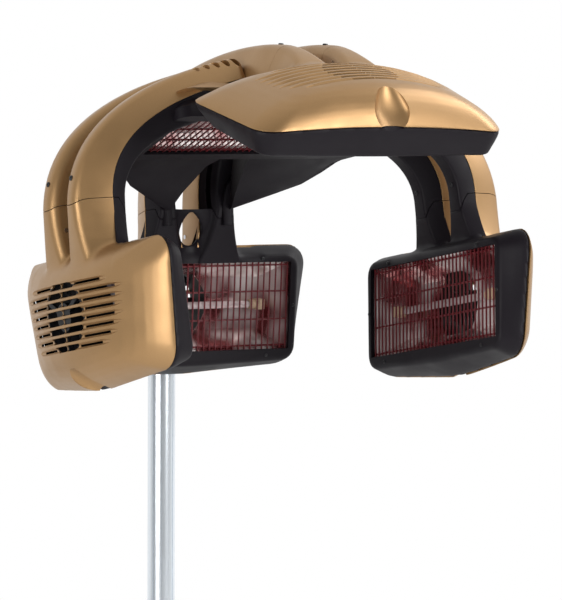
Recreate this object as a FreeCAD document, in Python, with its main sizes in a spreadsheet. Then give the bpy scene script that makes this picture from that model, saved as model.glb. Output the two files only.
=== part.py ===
import FreeCAD, Part
import math
import os

# A floor-standing hair color processor: five infrared lamp heads on hinged arms, on a
# telescopic column with a five-legged castor base.  Millimetres, +Z up.
# Row frame: origin on the floor below the column's axis, the client sits towards -Y.
# The hood has a frame of its own (origin at the hub's centre), leaned back about X, and each
# arm has a frame (x across the arm, y outwards, z up) turned about the hood's upright axis.

V = FreeCAD.Vector
X_AXIS, Y_AXIS, Z_AXIS = V(1, 0, 0), V(0, 1, 0), V(0, 0, 1)

SIZES = {
    # where the hood and the heads stand
    "hub_height": 1420, "column_setback": 289.3, "hood_lean": 8.7,
    "side_offset": 222.7, "side_drop": 240, "side_lean": 4.4,
    "rear_offset": 249.1, "rear_drop": 216.8, "rear_lean": -12.3,
    "front_offset": 198, "front_drop": 54, "front_lean": -66,
    "crown_offset": 0, "crown_drop": 24.5, "crown_lean": -77.3,
    # one lamp head: face at depth 0, seam between bezel and shell, back of the dome
    "guard_width": 308, "guard_height": 117.4, "face_margin_side": 9,
    "face_margin_top": 9, "face_margin_bottom": 19, "face_corner": 18,
    "seam_depth": 31, "seam_half_top": 195, "seam_half_bottom": 172,
    "seam_top": 79, "seam_low_corner": 82, "seam_bow": 14, "seam_corner": 26,
    "seam_low_radius": 34, "dome_depth": 90, "shell_wall": 3, "bezel_wall": 3,
    # vents in the dome
    "vent_rows": 8, "vent_pitch": 11, "vent_slot": 3, "vent_window": 7.5,
    "vent_half_length": 111, "fan_window": 94, "vent_ring": 5,
    # guard, reflector, lamp
    "wire_size": 1.6, "wire_pitch": 8.9, "rod_size": 2.2, "guard_lap": 2.8,
    "reflector_depth": 42, "reflector_back_width": 256, "reflector_back_height": 72,
    "reflector_sheet": 1, "reflector_flange": 3, "crown_reflector_depth": 30,
    "lamp_diameter": 10, "lamp_length": 254, "lamp_depth": 22,
    "holder_length": 22, "holder_side": 14,
    # fan
    "duct_outer": 100, "duct_inner": 94, "motor_diameter": 36, "motor_length": 16,
    "strut_width": 6, "strut_depth": 4, "shaft_diameter": 4, "blade_count": 7,
    "rotor_hub_diameter": 38, "rotor_tip_diameter": 88, "rotor_depth": 12,
    "blade_chord": 22, "blade_thick": 1.6, "blade_pitch": 35,
    # arms: outer, seam and inner widths and pitches of the two legs
    "leg_pitch_outer": 54, "leg_pitch_seam": 80, "leg_pitch_inner": 87,
    "leg_width_outer": 38, "leg_width_seam": 46, "leg_width_inner": 24,
    "cover_wall": 3, "seam_gap": 0.6, "neck_length": 70,
    "web_recess": 12, "web_thick": 4, "web_reach": 0.8, "web_hole": 30, "web_hole_up": -113,
    "side_kick": 8, "rear_kick": 28, "front_kick": 0,
    "side_root_out": 308, "side_root_up": -108, "side_bend_out": 300, "side_bend_up": -12,
    "side_rise_out": 208, "side_rise_up": 45, "side_tip_out": 71, "side_tip_up": 71.5,
    "side_cover_root": 53, "side_cover_tip": 31, "side_liner": 19, "side_turn_end": 90,
    "side_turn_start": 0,
    "rear_root_out": 292, "rear_root_up": -91, "rear_bend_out": 284, "rear_bend_up": -5,
    "rear_rise_out": 215, "rear_rise_up": 66, "rear_tip_out": 118, "rear_tip_up": 83,
    "rear_cover_root": 58, "rear_cover_tip": 40, "rear_liner": 27, "rear_turn_end": 90,
    "rear_turn_start": 0,
    "front_root_out": 122, "front_root_up": 75, "front_bend_out": 60, "front_bend_up": 90,
    "front_rise_out": -40, "front_rise_up": 93, "front_tip_out": -118, "front_tip_up": 83,
    "front_cover_root": 45, "front_cover_tip": 40, "front_liner": 19, "front_turn_end": 90,
    "front_turn_start": 73.7,
    # knuckle between arm and neck
    "pin_inset": 18, "pin_drop": 29, "seam_rise": 31, "notch_rise": 7, "knuckle_gap": 0.5,
    "pin_diameter": 6, "pin_length": 34, "pin_clearance": 0.05,
    "tongue_thick": 12, "tongue_radius": 9, "tongue_reach": 52, "tongue_angle": 60,
    "tongue_clearance": 0.3,
    # hub
    "hub_liner_depth": 36, "hub_liner_half": 168, "hub_liner_flare": 6,
    "hub_roof_depth": 68, "hub_roof_half_x": 78, "hub_roof_half_y": 52, "hub_roof_thick": 22,
    "hub_cavity_margin": 14,
    # column
    "tube_diameter": 37, "tube_wall": 2, "tube_length": 660, "tube_flutes": 8,
    "flute_width": 1.6, "flute_depth": 1.2, "flute_spread": 18,
    "flute_clear": 5,
    "bush_height": 40, "bush_clearance": 0.08,
    "outer_diameter": 52, "outer_wall": 2.5, "outer_top": 700,
    "collar_diameter": 66, "collar_height": 50, "collar_lap": 24,
    "socket_wall": 5, "socket_depth": 44,
    "knob_diameter": 38, "knob_length": 24, "knob_lobes": 6, "knob_flute": 10,
    "stud_diameter": 8, "stud_clearance": 1.5, "stud_seat": 1, "knob_gap": 2,
    "knob_flute_out": 2,
    # base
    "hub_radius": 48, "hub_bottom": 78, "hub_tall": 62, "leg_radius": 300,
    "leg_root_width": 46, "leg_tip_width": 34, "leg_root_height": 40, "leg_tip_height": 22,
    "leg_count": 5, "boss_radius": 19, "boss_height": 26,
    "wheel_diameter": 60, "wheel_width": 17, "wheel_gap": 19, "castor_trail": 24,
    "axle_diameter": 8, "stem_diameter": 11, "stem_length": 24, "castor_height": 74,
    "castor_clearance": 0.05, "housing_thick": 16, "housing_radius": 23,
    # mains inlet and control box
    "inlet_width": 32, "inlet_height": 26, "inlet_depth": 24, "inlet_proud": 3,
    "inlet_wall": 5, "inlet_rim": 4, "inlet_well_depth": 14,
    "contact_thick": 2, "contact_height": 6, "contact_length": 13, "contact_root": 2,
    "contact_pitch": 6,
    "panel_width": 96, "panel_height": 150, "panel_depth": 42, "panel_up": 590,
    "panel_lean": 8, "timer_diameter": 40, "timer_length": 16, "timer_spindle": 6,
    "timer_up": -34, "timer_gap": 0.3, "timer_bevel": 2, "spindle_length": 11,
    "panel_corner": 12, "clamp_half_width": 20, "clamp_depth": 14, "clamp_margin": 20
}

doc = FreeCAD.newDocument("HairColorProcessor")
sheet = doc.addObject("Spreadsheet::Sheet", "Sizes")
for row, (alias, value) in enumerate(SIZES.items(), start=1):
    sheet.set("A%d" % row, alias)
    sheet.set("B%d" % row, str(value))
    sheet.setAlias("B%d" % row, alias)
doc.recompute()

SUBPARTS = []


def size(alias):
    """A size read from the sheet."""
    return float(sheet.get(alias))


# ---------------------------------------------------------------- frames
def hood_frame():
    return FreeCAD.Placement(V(0, -size("column_setback"), size("hub_height")),
                             FreeCAD.Rotation(X_AXIS, -size("hood_lean")))


HEADINGS = {"rear": 0, "left": 90, "front": 180, "right": 270}
KINDS = {"rear": "rear", "left": "side", "front": "front", "right": "side"}


def arm_frame(side):
    turn = FreeCAD.Placement(V(), FreeCAD.Rotation(Z_AXIS, HEADINGS[side]))
    return hood_frame().multiply(turn)


def head_frame(side, kind):
    lean = FreeCAD.Placement(V(0, size(kind + "_offset"), -size(kind + "_drop")),
                             FreeCAD.Rotation(X_AXIS, -size(kind + "_lean")))
    return arm_frame(side).multiply(lean)


# ---------------------------------------------------------------- document helpers
def publish(obj, label):
    """Give a finished object its sub-part label."""
    obj.Label = label
    SUBPARTS.append(obj)
    return obj


def feature(label, shape, placement=None):
    """A sub-part whose shape comes from Part's own functions, sized from the sheet."""
    obj = doc.addObject("Part::Feature", label)
    obj.Shape = shape
    obj.Placement = placement or FreeCAD.Placement()
    return publish(obj, label)


PLACES = {"x": "Placement.Base.x", "y": "Placement.Base.y", "z": "Placement.Base.z"}


def primitive(kind, name, placement=None, **expressions):
    """A Part primitive whose sizes, and place along x, y or z, are bound to the sheet."""
    obj = doc.addObject("Part::" + kind, name)
    obj.Placement = placement or FreeCAD.Placement()
    for prop, expression in expressions.items():
        obj.setExpression(PLACES.get(prop, prop), expression)
    return obj


def cylinder(name, radius, height, placement=None, **place):
    return primitive("Cylinder", name, placement, Radius=radius, Height=height, **place)


def box(name, length, width, height, placement=None, **place):
    return primitive("Box", name, placement, Length=length, Width=width, Height=height, **place)


def fuse(name, shapes):
    obj = doc.addObject("Part::MultiFuse", name)
    obj.Shapes = shapes
    return obj


def group(name, shapes):
    obj = doc.addObject("Part::Compound", name)
    obj.Links = shapes
    return obj


def cut(name, base, tool):
    obj = doc.addObject("Part::Cut", name)
    obj.Base, obj.Tool = base, tool
    return obj


def at(x=0.0, y=0.0, z=0.0, axis=Z_AXIS, angle=0.0):
    return FreeCAD.Placement(V(x, y, z), FreeCAD.Rotation(axis, angle))


# ---------------------------------------------------------------- outlines and lofts
def rounded_outline(corners, depth):
    """A closed wire at y = depth through (x, z, radius) corners, each rounded by an arc."""
    points = [V(x, depth, z) for x, z, _ in corners]
    count = len(points)
    spans = []
    for i, (_, _, radius) in enumerate(corners):
        here, before, after = points[i], points[i - 1], points[(i + 1) % count]
        to_before, to_after = (before - here).normalize(), (after - here).normalize()
        half = to_before.getAngle(to_after) / 2
        reach = radius / math.tan(half)
        middle = (to_before + to_after).normalize() * (radius / math.sin(half) - radius)
        spans.append((here + to_before * reach, here + middle, here + to_after * reach))
    edges = []
    for i, (start, middle, end) in enumerate(spans):
        edges.append(Part.Arc(start, middle, end).toShape())
        edges.append(Part.LineSegment(end, spans[(i + 1) % count][0]).toShape())
    return Part.Wire(edges)


def head_outline(grow, depth, face=False, shrink=(1, 1, 0)):
    """The head's outline: straight top, tapered sides, bowed bottom edge.

    shrink narrows it across and along its height about its middle, and rounds its corners more.
    """
    if face:
        half_top = half_low = size("guard_width") / 2 + size("face_margin_side")
        top = size("guard_height") / 2 + size("face_margin_top")
        low = size("guard_height") / 2 + size("face_margin_bottom") - size("seam_bow") / 3
        bow, corner, low_corner = size("seam_bow") / 3, size("face_corner"), size("face_corner")
    else:
        half_top, half_low = size("seam_half_top"), size("seam_half_bottom")
        top, low = size("seam_top"), size("seam_low_corner")
        bow, corner, low_corner = size("seam_bow"), size("seam_corner"), size("seam_low_radius")
    across, along, more = shrink
    middle = (top - low - bow) / 2
    half_top, half_low = half_top * across + grow, half_low * across + grow
    top, low = middle + (top - middle) * along + grow, (low + middle) * along - middle + grow
    radius, low_radius = corner + more + grow / 2, low_corner + more + grow / 2
    bow *= along
    wide = half_low ** 2 / (2 * bow) / 3
    return rounded_outline([(-half_top, top, radius), (half_top, top, radius),
                            (half_low, -low, low_radius), (0, -low - bow, wide),
                            (-half_low, -low, low_radius)], depth)


# the dome's outlines: share of its depth, widths and heights as shares, and extra corner radius
DOME = ((0, 1, 1, 0), (0.12, 0.97, 0.996, 0), (0.25, 0.918, 0.984, 8), (0.4, 0.84, 0.957, 18),
        (0.55, 0.741, 0.914, 23), (0.7, 0.615, 0.845, 24), (0.82, 0.482, 0.757, 20),
        (0.92, 0.324, 0.626, 10), (1, 0.182, 0.471, -12))


def dome(grow):
    """The back shell's envelope: outlines from the seam up to an arched back."""
    seam, back = size("seam_depth"), size("dome_depth")
    wires = []
    for share, across, along, more in DOME:
        depth = seam + share * (back - seam + grow)
        wires.append(head_outline(grow, depth, shrink=(across, along, more)))
    return Part.makeLoft(wires, True, True)


def bezel_block(grow, start):
    wires = [head_outline(grow, start, face=True), head_outline(grow, size("seam_depth"))]
    return Part.makeLoft(wires, True, False)


def block(x0, x1, y0, y1, z0, z1):
    return Part.makeBox(x1 - x0, y1 - y0, z1 - z0, V(x0, y0, z0))


# ---------------------------------------------------------------- arms
def curve(points):
    bezier = Part.BezierCurve()
    bezier.setPoles([V(0, out, up) for out, up in points])
    return bezier


def leg_curves(kind):
    """Outer, seam and inner curves of one arm, as Bezier curves in its (out, up) plane."""
    outer = [(size("%s_%s_out" % (kind, pole)), size("%s_%s_up" % (kind, pole)))
             for pole in ("root", "bend", "rise", "tip")]
    start, end = size(kind + "_turn_start"), size(kind + "_turn_end")
    root, tip = size(kind + "_cover_root"), size(kind + "_cover_tip")
    rows = []
    for extra in (0, 1, 2):
        poles = []
        for i, (out, up) in enumerate(outer):
            angle = math.radians(start + (end - start) * i / 3)
            depth = 0 if extra == 0 else root + (tip - root) * i / 3
            depth += size(kind + "_liner") if extra == 2 else 0
            poles.append((out - depth * math.cos(angle), up - depth * math.sin(angle)))
        rows.append(curve(poles))
    return rows


def directions(kind):
    """Inward and hubward unit vectors at the root of an arm."""
    angle = math.radians(size(kind + "_turn_start"))
    return V(0, -math.cos(angle), -math.sin(angle)), V(0, -math.sin(angle), math.cos(angle))


def pin_point(kind):
    inward, hubward = directions(kind)
    root = V(0, size(kind + "_root_out"), size(kind + "_root_up"))
    return root + inward * size("pin_inset") - hubward * size("pin_drop")


def foot_slip(kind, index):
    """How far a leg's foot lies from its root: down, and for liners outwards to the bezel."""
    inward, hubward = directions(kind)
    return hubward * -size("neck_length") - inward * (size(kind + "_kick") if index else 0)


def leg_ring(kind, near, far, station, slip, inset=0.0, lift=0.0):
    """The +x leg's section at one station, between two of its curves, moved by slip."""
    names = ("outer", "seam", "inner")
    curves = leg_curves(kind)
    across = curves[far].value(station) - curves[near].value(station)
    ring = []
    for index, sign in ((near, -1), (near, 1), (far, 1), (far, -1)):
        point = curves[index].value(station) + slip
        if index == near:
            point = point + across.normalize() * (inset + lift)
        middle = size("leg_pitch_" + names[index]) / 2
        half = size("leg_width_" + names[index]) / 2 - inset
        ring.append(V(middle + sign * half, point.y, point.z))
    return Part.makePolygon(ring + ring[:1])


def leg_loft(kind, near, far, inset=0.0, lift=0.0, first=0.0, last=1.0, neck=True):
    """One leg between two of its curves (0 outer, 1 seam, 2 inner), on the +x side.

    inset pulls the near face and both sides in, and lift moves the near face alone.
    """
    stations = [first + (last - first) * i / 6 for i in range(7)]
    leg = Part.makeLoft([leg_ring(kind, near, far, station, V(), inset, lift)
                         for station in stations], True, False)
    if not neck:
        return leg
    foot = Part.makeLoft([leg_ring(kind, near, far, 0.0, slip, inset, lift)
                          for slip in (foot_slip(kind, near), V())], True, True)
    return largest(leg.fuse(foot))


def web(kind):
    """The plate between the liners of an arm's two legs, set back from their inner faces."""
    seam, inner = leg_curves(kind)[1:]
    half = (size("leg_pitch_seam") + size("leg_pitch_inner")) / 4 - size("web_thick")

    def ring(station, slip):
        outward = (seam.value(station) - inner.value(station)).normalize()
        front = inner.value(station) + slip + outward * size("web_recess")
        back = front + outward * size("web_thick")
        return Part.makePolygon([V(x, point.y, point.z) for x, point in (
            (-half, front), (half, front), (half, back), (-half, back), (-half, front))])

    upper = Part.makeLoft([ring(size("web_reach") * i / 6, V()) for i in range(7)], True, False)
    lower = Part.makeLoft([ring(0, foot_slip(kind, 1)), ring(0, V())], True, True)
    return largest(upper.fuse(lower))


def neck_region(kind, grow):
    """Everything of an arm that lies on the head's side of the knuckle."""
    inward, hubward = directions(kind)
    centre = pin_point(kind)
    rise, knuckle = size("seam_rise") + grow, knuckle_radius(kind) + grow
    far, back = 200, size("pin_inset") + 22

    def spot(across, along):
        return V(-100, 0, 0) + centre + inward * across + hubward * along

    def polar(radius, angle):
        return spot(radius * math.cos(angle), radius * math.sin(angle))

    corner = math.asin(rise / knuckle)
    notch = math.asin((size("notch_rise") + grow) / knuckle)
    edge = math.acos(-min(back, rise * 0.95) / rise)
    edges = [
        Part.LineSegment(spot(0, rise), polar(knuckle, corner)).toShape(),
        Part.Arc(polar(knuckle, corner), polar(knuckle, (corner + notch) / 2),
                 polar(knuckle, notch)).toShape(),
        Part.makePolygon([polar(knuckle, notch), spot(far, size("notch_rise") + grow),
                          spot(far, -far), spot(-far, -far), spot(-far, rise * math.sin(edge)),
                          polar(rise, edge)]),
        Part.Arc(polar(rise, edge), polar(rise, (edge + math.pi / 2) / 2), spot(0, rise)).toShape(),
    ]
    flat = []
    for item in edges:
        flat += item.Edges
    return Part.Face(Part.Wire(flat)).extrude(V(200, 0, 0))


def knuckle_radius(kind):
    return size(kind + "_cover_root") + size(kind + "_liner") - size("pin_inset") - 1


def pin_middle():
    """Distance of a leg's pin from the arm's middle plane."""
    share = size("pin_inset") / size("side_cover_root")
    return (size("leg_pitch_outer") + share * (size("leg_pitch_seam") - size("leg_pitch_outer"))) / 2


def across_arm(kind, radius, length):
    """A cylinder along x on the leg's pin axis."""
    start = pin_point(kind) + V(pin_middle() - length / 2, 0, 0)
    return Part.makeCylinder(radius, length, start, X_AXIS)


def tongue(kind):
    """The lug that reaches from the arm down to the pin, inside the neck."""
    inward, hubward = directions(kind)
    angle = math.radians(size("tongue_angle"))
    along = inward * math.cos(angle) + hubward * math.sin(angle)
    side = (inward * math.sin(angle) - hubward * math.cos(angle)) * size("tongue_radius")
    centre = pin_point(kind) + V(pin_middle() - size("tongue_thick") / 2, 0, 0)
    end = centre + along * size("tongue_reach")
    ring = [centre + side, end + side, end - side, centre - side, centre + side]
    strip = Part.Face(Part.makePolygon(ring)).extrude(V(size("tongue_thick"), 0, 0))
    return strip.fuse(across_arm(kind, size("tongue_radius"), size("tongue_thick")))


def tongue_slot(kind):
    """The room that the tongue needs in the neck over the hinge's whole swing."""
    inward, hubward = directions(kind)
    clear = size("tongue_radius") + size("tongue_clearance")
    centre = pin_point(kind)
    width = size("tongue_thick") + 2 * size("tongue_clearance")
    start = centre + V(pin_middle() - width / 2, 0, 0)
    reach = knuckle_radius(kind) * math.cos(math.radians(size("tongue_angle"))) + clear
    top = size("seam_rise") + 6
    ring = [start + inward * a + hubward * b
            for a, b in ((-clear, -clear), (reach, -clear), (reach, top), (-clear, top),
                         (-clear, -clear))]
    return Part.Face(Part.makePolygon(ring)).extrude(V(width, 0, 0))


def both_legs(shape):
    return [shape, shape.mirror(V(), X_AXIS)]


def largest(shape):
    """The main solid of a cut shape, without slivers left by its corners."""
    return max(shape.Solids, key=lambda solid: solid.Volume)


def arm_shapes(kind):
    """Both legs' cover and liner, the same of the neck, and the knuckle's cutting tool."""
    bore = across_arm(kind, size("pin_diameter") / 2 + size("pin_clearance"), BORE_SPAN)
    cover = leg_loft(kind, 0, 1)
    liner = leg_loft(kind, 1, 2, lift=size("seam_gap"))
    gap = neck_region(kind, size("knuckle_gap"))
    upper = cover.cut(gap)
    pocket = leg_loft(kind, 0, 1, inset=size("cover_wall"), first=0.2, last=0.97, neck=False)
    upper = upper.cut(pocket).fuse(tongue(kind)).cut(bore)
    below = neck_region(kind, 0)
    knuckle = tongue_slot(kind).fuse(bore)
    liners = both_legs(largest(liner.cut(gap)))
    neck_liners = both_legs(largest(liner.common(below)))
    if kind == "rear":
        hole = Part.makeCylinder(size("web_hole") / 2, size("rear_root_out"),
                                 V(0, 0, size("web_hole_up")), Y_AXIS)
        liners = [liners[0].multiFuse([liners[1], web(kind).cut(gap)])]
        plate = web(kind).common(below).cut(hole)
        neck_liners = [neck_liners[0].multiFuse([neck_liners[1], plate])]
    return {"cover": both_legs(upper), "liner": liners,
            "neck": both_legs(cover.common(below)), "knuckle": both_legs(knuckle),
            "neck_liner": neck_liners}


BORE_SPAN = 80
ARMS = {kind: arm_shapes(kind) for kind in ("side", "rear", "front")}


# ---------------------------------------------------------------- lamp heads
def vents():
    """Slots and fan window through the dome's back, as one cutting tool."""
    rows, pitch = int(size("vent_rows")), size("vent_pitch")
    depth0, depth1 = size("seam_depth") + 10, size("dome_depth") + 10
    radius = size("fan_window") / 2
    disc = Part.makeCylinder(radius, depth1 - depth0, V(0, depth0, 0), Y_AXIS)
    tools = []
    for row in range(rows):
        level = (row - (rows - 1) / 2) * pitch
        ends = size("vent_half_length") * math.sqrt(max(0.2, 1 - (level / (rows * pitch)) ** 2))
        start = math.sqrt(max(0, radius ** 2 - level ** 2)) + size("vent_ring")
        half = size("vent_slot") / 2
        for sign in (-1, 1):
            x0, x1 = sorted((sign * start, sign * ends))
            tools.append(block(x0, x1, depth0, depth1, level - half, level + half))
        window = size("vent_window") / 2
        bar = block(-radius, radius, depth0, depth1, level - window, level + window)
        tools.append(bar.common(disc))
    return Part.makeCompound(tools)


def in_head(side, kind, shapes):
    """Shapes given in the arm's frame, expressed in the head's frame."""
    move = head_frame(side, kind).inverse().multiply(arm_frame(side))
    moved = []
    for shape in shapes:
        copy = shape.copy()
        copy.transformShape(move.toMatrix(), True)
        moved.append(copy)
    return moved


def guard(depth):
    """Crossed bars that close the face's opening, with ends behind the face plate."""
    half_w = size("guard_width") / 2 + size("guard_lap")
    half_h = size("guard_height") / 2 + size("guard_lap")
    wire, rod = size("wire_size") / 2, size("rod_size") / 2
    count = int(size("guard_width") // size("wire_pitch"))
    bars = []
    for i in range(count + 1):
        x = (i - count / 2) * size("wire_pitch")
        bars.append(block(x - wire, x + wire, depth - wire, depth + wire, -half_h, half_h))
    for share in (-0.92, -0.32, 0.32, 0.92):
        z = share * size("guard_height") / 2
        bars.append(block(-half_w, half_w, depth, depth + 2 * rod, z - rod, z + rod))
    return bars[0].multiFuse(bars[1:])


def tray(depth, deep):
    """A dished sheet reflector with a flange around its mouth."""
    sheet_t = size("reflector_sheet")
    half_w = size("guard_width") / 2 + size("guard_lap")
    half_h = size("guard_height") / 2 + size("guard_lap")
    back_w, back_h = size("reflector_back_width") / 2, size("reflector_back_height") / 2

    def frustum(inset, y0, y1):
        def ring(w, v, y):
            corner = [V(-w, y, -v), V(w, y, -v), V(w, y, v), V(-w, y, v)]
            return Part.makePolygon(corner + corner[:1])
        lip = size("reflector_flange")
        return Part.makeLoft([ring(half_w - lip - inset, half_h - lip - inset, y0),
                              ring(back_w - inset, back_h - inset, y1)], True, True)

    flange = block(-half_w, half_w, depth, depth + sheet_t, -half_h, half_h)
    outer = frustum(0, depth, deep)
    inner = frustum(sheet_t, depth - 0.01, deep - sheet_t)
    return flange.fuse(outer).cut(inner)


def guard_depth():
    return size("bezel_wall") + size("wire_size") / 2 + 0.1


def tray_depth():
    return guard_depth() + size("rod_size") + 0.1


def lamp(deep):
    """Quartz tube with a square ceramic holder on each end, reaching the tray's ends."""
    level = size("lamp_depth") if deep > size("lamp_depth") + 15 else deep * 0.55
    side = size("holder_side") / 2
    radius = size("lamp_diameter") / 2
    mouth = size("guard_width") / 2 + size("guard_lap") - size("reflector_flange")
    slope = (mouth - size("reflector_back_width") / 2) / (deep - tray_depth())
    reach = mouth - slope * (level + side - tray_depth()) - size("reflector_sheet") * 1.3 - 0.5
    inner = size("lamp_length") / 2 - size("holder_length")
    tube = Part.makeCylinder(radius, 2 * inner + 8, V(-inner - 4, level, 0), X_AXIS)
    ends = [block(-reach, -inner, level - side, level + side, -side, side),
            block(inner, reach, level - side, level + side, -side, side)]
    return tube.multiFuse(ends)


def motor_back():
    return size("dome_depth") - size("shell_wall") - 0.6 - size("strut_depth")


def fan_frame():
    """Duct ring with a motor can carried on three struts, and the motor's shaft."""
    start = size("reflector_depth") + 0.3
    end = size("dome_depth") - size("shell_wall") - 0.4
    ring = Part.makeCylinder(size("duct_outer") / 2, end - start, V(0, start, 0), Y_AXIS)
    ring = ring.cut(Part.makeCylinder(size("duct_inner") / 2, end - start, V(0, start, 0), Y_AXIS))
    back = motor_back()
    can = Part.makeCylinder(size("motor_diameter") / 2, size("motor_length"),
                            V(0, back - size("motor_length") + size("strut_depth"), 0), Y_AXIS)
    pieces = [can]
    for turn in (90, 210, 330):
        strut = block(0, size("duct_outer") / 2 - 1, back, back + size("strut_depth"),
                      -size("strut_width") / 2, size("strut_width") / 2)
        strut.rotate(V(), Y_AXIS, turn)
        pieces.append(strut)
    shaft_start = rotor_start()
    pieces.append(Part.makeCylinder(size("shaft_diameter") / 2, back - shaft_start,
                                    V(0, shaft_start, 0), Y_AXIS))
    return ring.multiFuse(pieces).common(dome(-size("shell_wall") - 0.3))


def rotor_start():
    front = motor_back() + size("strut_depth") - size("motor_length")
    return front - size("rotor_depth") - 1


def fan_rotor():
    """Hub cup with pitched blades, free on the motor's shaft."""
    start, deep = rotor_start(), size("rotor_depth")
    hub_radius, tip = size("rotor_hub_diameter") / 2, size("rotor_tip_diameter") / 2
    hub = Part.makeCylinder(hub_radius, deep, V(0, start, 0), Y_AXIS)
    ring = Part.makeCylinder(tip, deep, V(0, start, 0), Y_AXIS)
    blades = []
    for i in range(int(size("blade_count"))):
        blade = block(hub_radius - 2, tip + 4, -size("blade_chord") / 2, size("blade_chord") / 2,
                      -size("blade_thick") / 2, size("blade_thick") / 2)
        blade.rotate(V(), X_AXIS, size("blade_pitch"))
        blade.translate(V(0, start + deep / 2, 0))
        blade.rotate(V(), Y_AXIS, i * 360.0 / size("blade_count"))
        blades.append(blade.common(ring))
    bore = Part.makeCylinder(size("shaft_diameter") / 2 + size("pin_clearance"), deep,
                             V(0, start, 0), Y_AXIS)
    return hub.multiFuse(blades).cut(bore)


def make_head(side):
    kind = KINDS[side]
    place = head_frame(side, kind)
    wall = size("shell_wall")
    necks = in_head(side, kind, ARMS[kind]["neck"])
    neck_liners = in_head(side, kind, ARMS[kind]["neck_liner"])
    knuckles = Part.makeCompound(in_head(side, kind, ARMS[kind]["knuckle"]))
    outer, cavity = dome(0), dome(-wall)
    face_plate = bezel_block(0, 0)
    behind = Part.makeBox(600, size("seam_depth"), 600, V(-300, 0, -300))
    shell = outer.multiFuse([neck.cut(behind) for neck in necks])
    if side == "rear":
        shell = shell.fuse(socket(place))
    shell = shell.cut(cavity.fuse(Part.makeBox(600, 40, 600, V(-300, size("seam_depth") - 40, -300))))
    shell = shell.cut(VENTS).cut(knuckles)
    if side == "rear":
        shell = shell.cut(socket_bore(place))
    bezel = face_plate.multiFuse([liner.cut(outer) for liner in neck_liners])
    bezel = bezel.cut(Part.makeCompound([necks[0].cut(behind), necks[1].cut(behind)]))
    bezel = bezel.cut(shell)
    hollow = bezel_block(-size("bezel_wall"), size("bezel_wall"))
    bezel = bezel.cut(hollow).cut(OPENING).cut(knuckles)
    feature(side + "_shell", largest(shell), place)
    feature(side + "_bezel", largest(bezel), place)
    feature(side + "_guard", GUARD, place)
    feature(side + "_reflector", FAN_TRAY, place)
    feature(side + "_lamp", LAMP, place)
    feature(side + "_fan_frame", FAN_FRAME, place)
    feature(side + "_fan_rotor", FAN_ROTOR, place)


def socket(place, radius=None):
    """The socket that takes the column's top, upright, in the rear head's frame."""
    low = socket_low(place)
    tube = size("tube_diameter") / 2
    shape = Part.makeCylinder(radius or tube + size("socket_wall"), size("socket_depth"),
                              V(0, 0, low), Z_AXIS)
    shape.transformShape(place.inverse().toMatrix(), True)
    return shape


def socket_low(place):
    corner = place.multVec(V(0, size("dome_depth"), -size("seam_low_corner") - size("seam_bow") * 0.9))
    return corner.z - 4


def socket_bore(place):
    shape = Part.makeCylinder(size("tube_diameter") / 2 + size("pin_clearance"),
                              size("socket_depth") - size("socket_wall"),
                              V(0, 0, socket_low(place)), Z_AXIS)
    shape.transformShape(place.inverse().toMatrix(), True)
    return shape


VENTS = vents()
OPENING = block(-size("guard_width") / 2, size("guard_width") / 2, -5, 5,
                -size("guard_height") / 2, size("guard_height") / 2)
GUARD = guard(guard_depth())
FAN_TRAY = tray(tray_depth(), size("reflector_depth")).cut(
    Part.makeCylinder(size("fan_window") / 2, 20, V(0, size("reflector_depth") - 10, 0), Y_AXIS))
LAMP = lamp(size("reflector_depth"))
FAN_FRAME = fan_frame()
FAN_ROTOR = fan_rotor()
for head_side in HEADINGS:
    make_head(head_side)


# ---------------------------------------------------------------- hub and crown heater
CROWN = head_frame("rear", "crown")


def to_crown(shape, side):
    copy = shape.copy()
    copy.transformShape(CROWN.inverse().multiply(arm_frame(side)).toMatrix(), True)
    return copy


def rectangle(half_x, half_y, radius, depth):
    return rounded_outline([(-half_x, half_y, radius), (half_x, half_y, radius),
                            (half_x, -half_y, radius), (-half_x, -half_y, radius)], depth)


def hub_shapes():
    corner = size("face_corner")
    half_x, deep = size("hub_liner_half"), size("hub_liner_depth")
    half_y = size("guard_height") / 2 + size("face_margin_bottom")
    flare, wall = size("hub_liner_flare"), size("shell_wall")

    def lower(grow, start):
        return Part.makeLoft([rectangle(half_x + grow, half_y + grow, corner + grow, start),
                              rectangle(half_x - flare + grow, half_y + flare + grow,
                                        corner + grow, deep)], True, True)

    liner = lower(0, 0).cut(lower(-wall, wall)).cut(OPENING)
    roof = Part.makeLoft([rectangle(half_x - flare, half_y + flare, corner, deep),
                          rectangle(size("hub_roof_half_x"), size("hub_roof_half_y"), corner,
                                    size("hub_roof_depth"))], True, True)
    margin = size("hub_cavity_margin")
    cavity = Part.makeLoft([rectangle(half_x - flare - margin, half_y + flare - margin, corner, deep),
                            rectangle(size("hub_roof_half_x") - margin,
                                      size("hub_roof_half_y") - margin, corner,
                                      size("hub_roof_depth") - size("hub_roof_thick"))], True, True)
    return liner, roof.cut(cavity), lower(0, 0).fuse(roof)


HUB_LINER, HUB_COVER, HUB_ENVELOPE = hub_shapes()
solid_covers = []
for head_side in HEADINGS:
    solid_covers += [to_crown(leg, head_side) for leg in both_legs(leg_loft(KINDS[head_side], 0, 1))]
HUB_COVER = largest(HUB_COVER.cut(Part.makeCompound(solid_covers)))
HUB_LINER = largest(HUB_LINER.cut(Part.makeCompound(solid_covers)))
feature("hub_cover", HUB_COVER, CROWN)
feature("hub_liner", HUB_LINER, CROWN)
feature("crown_guard", GUARD, CROWN)
feature("crown_reflector", tray(tray_depth(), size("crown_reflector_depth")), CROWN)
feature("crown_lamp", lamp(size("crown_reflector_depth")), CROWN)

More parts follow.
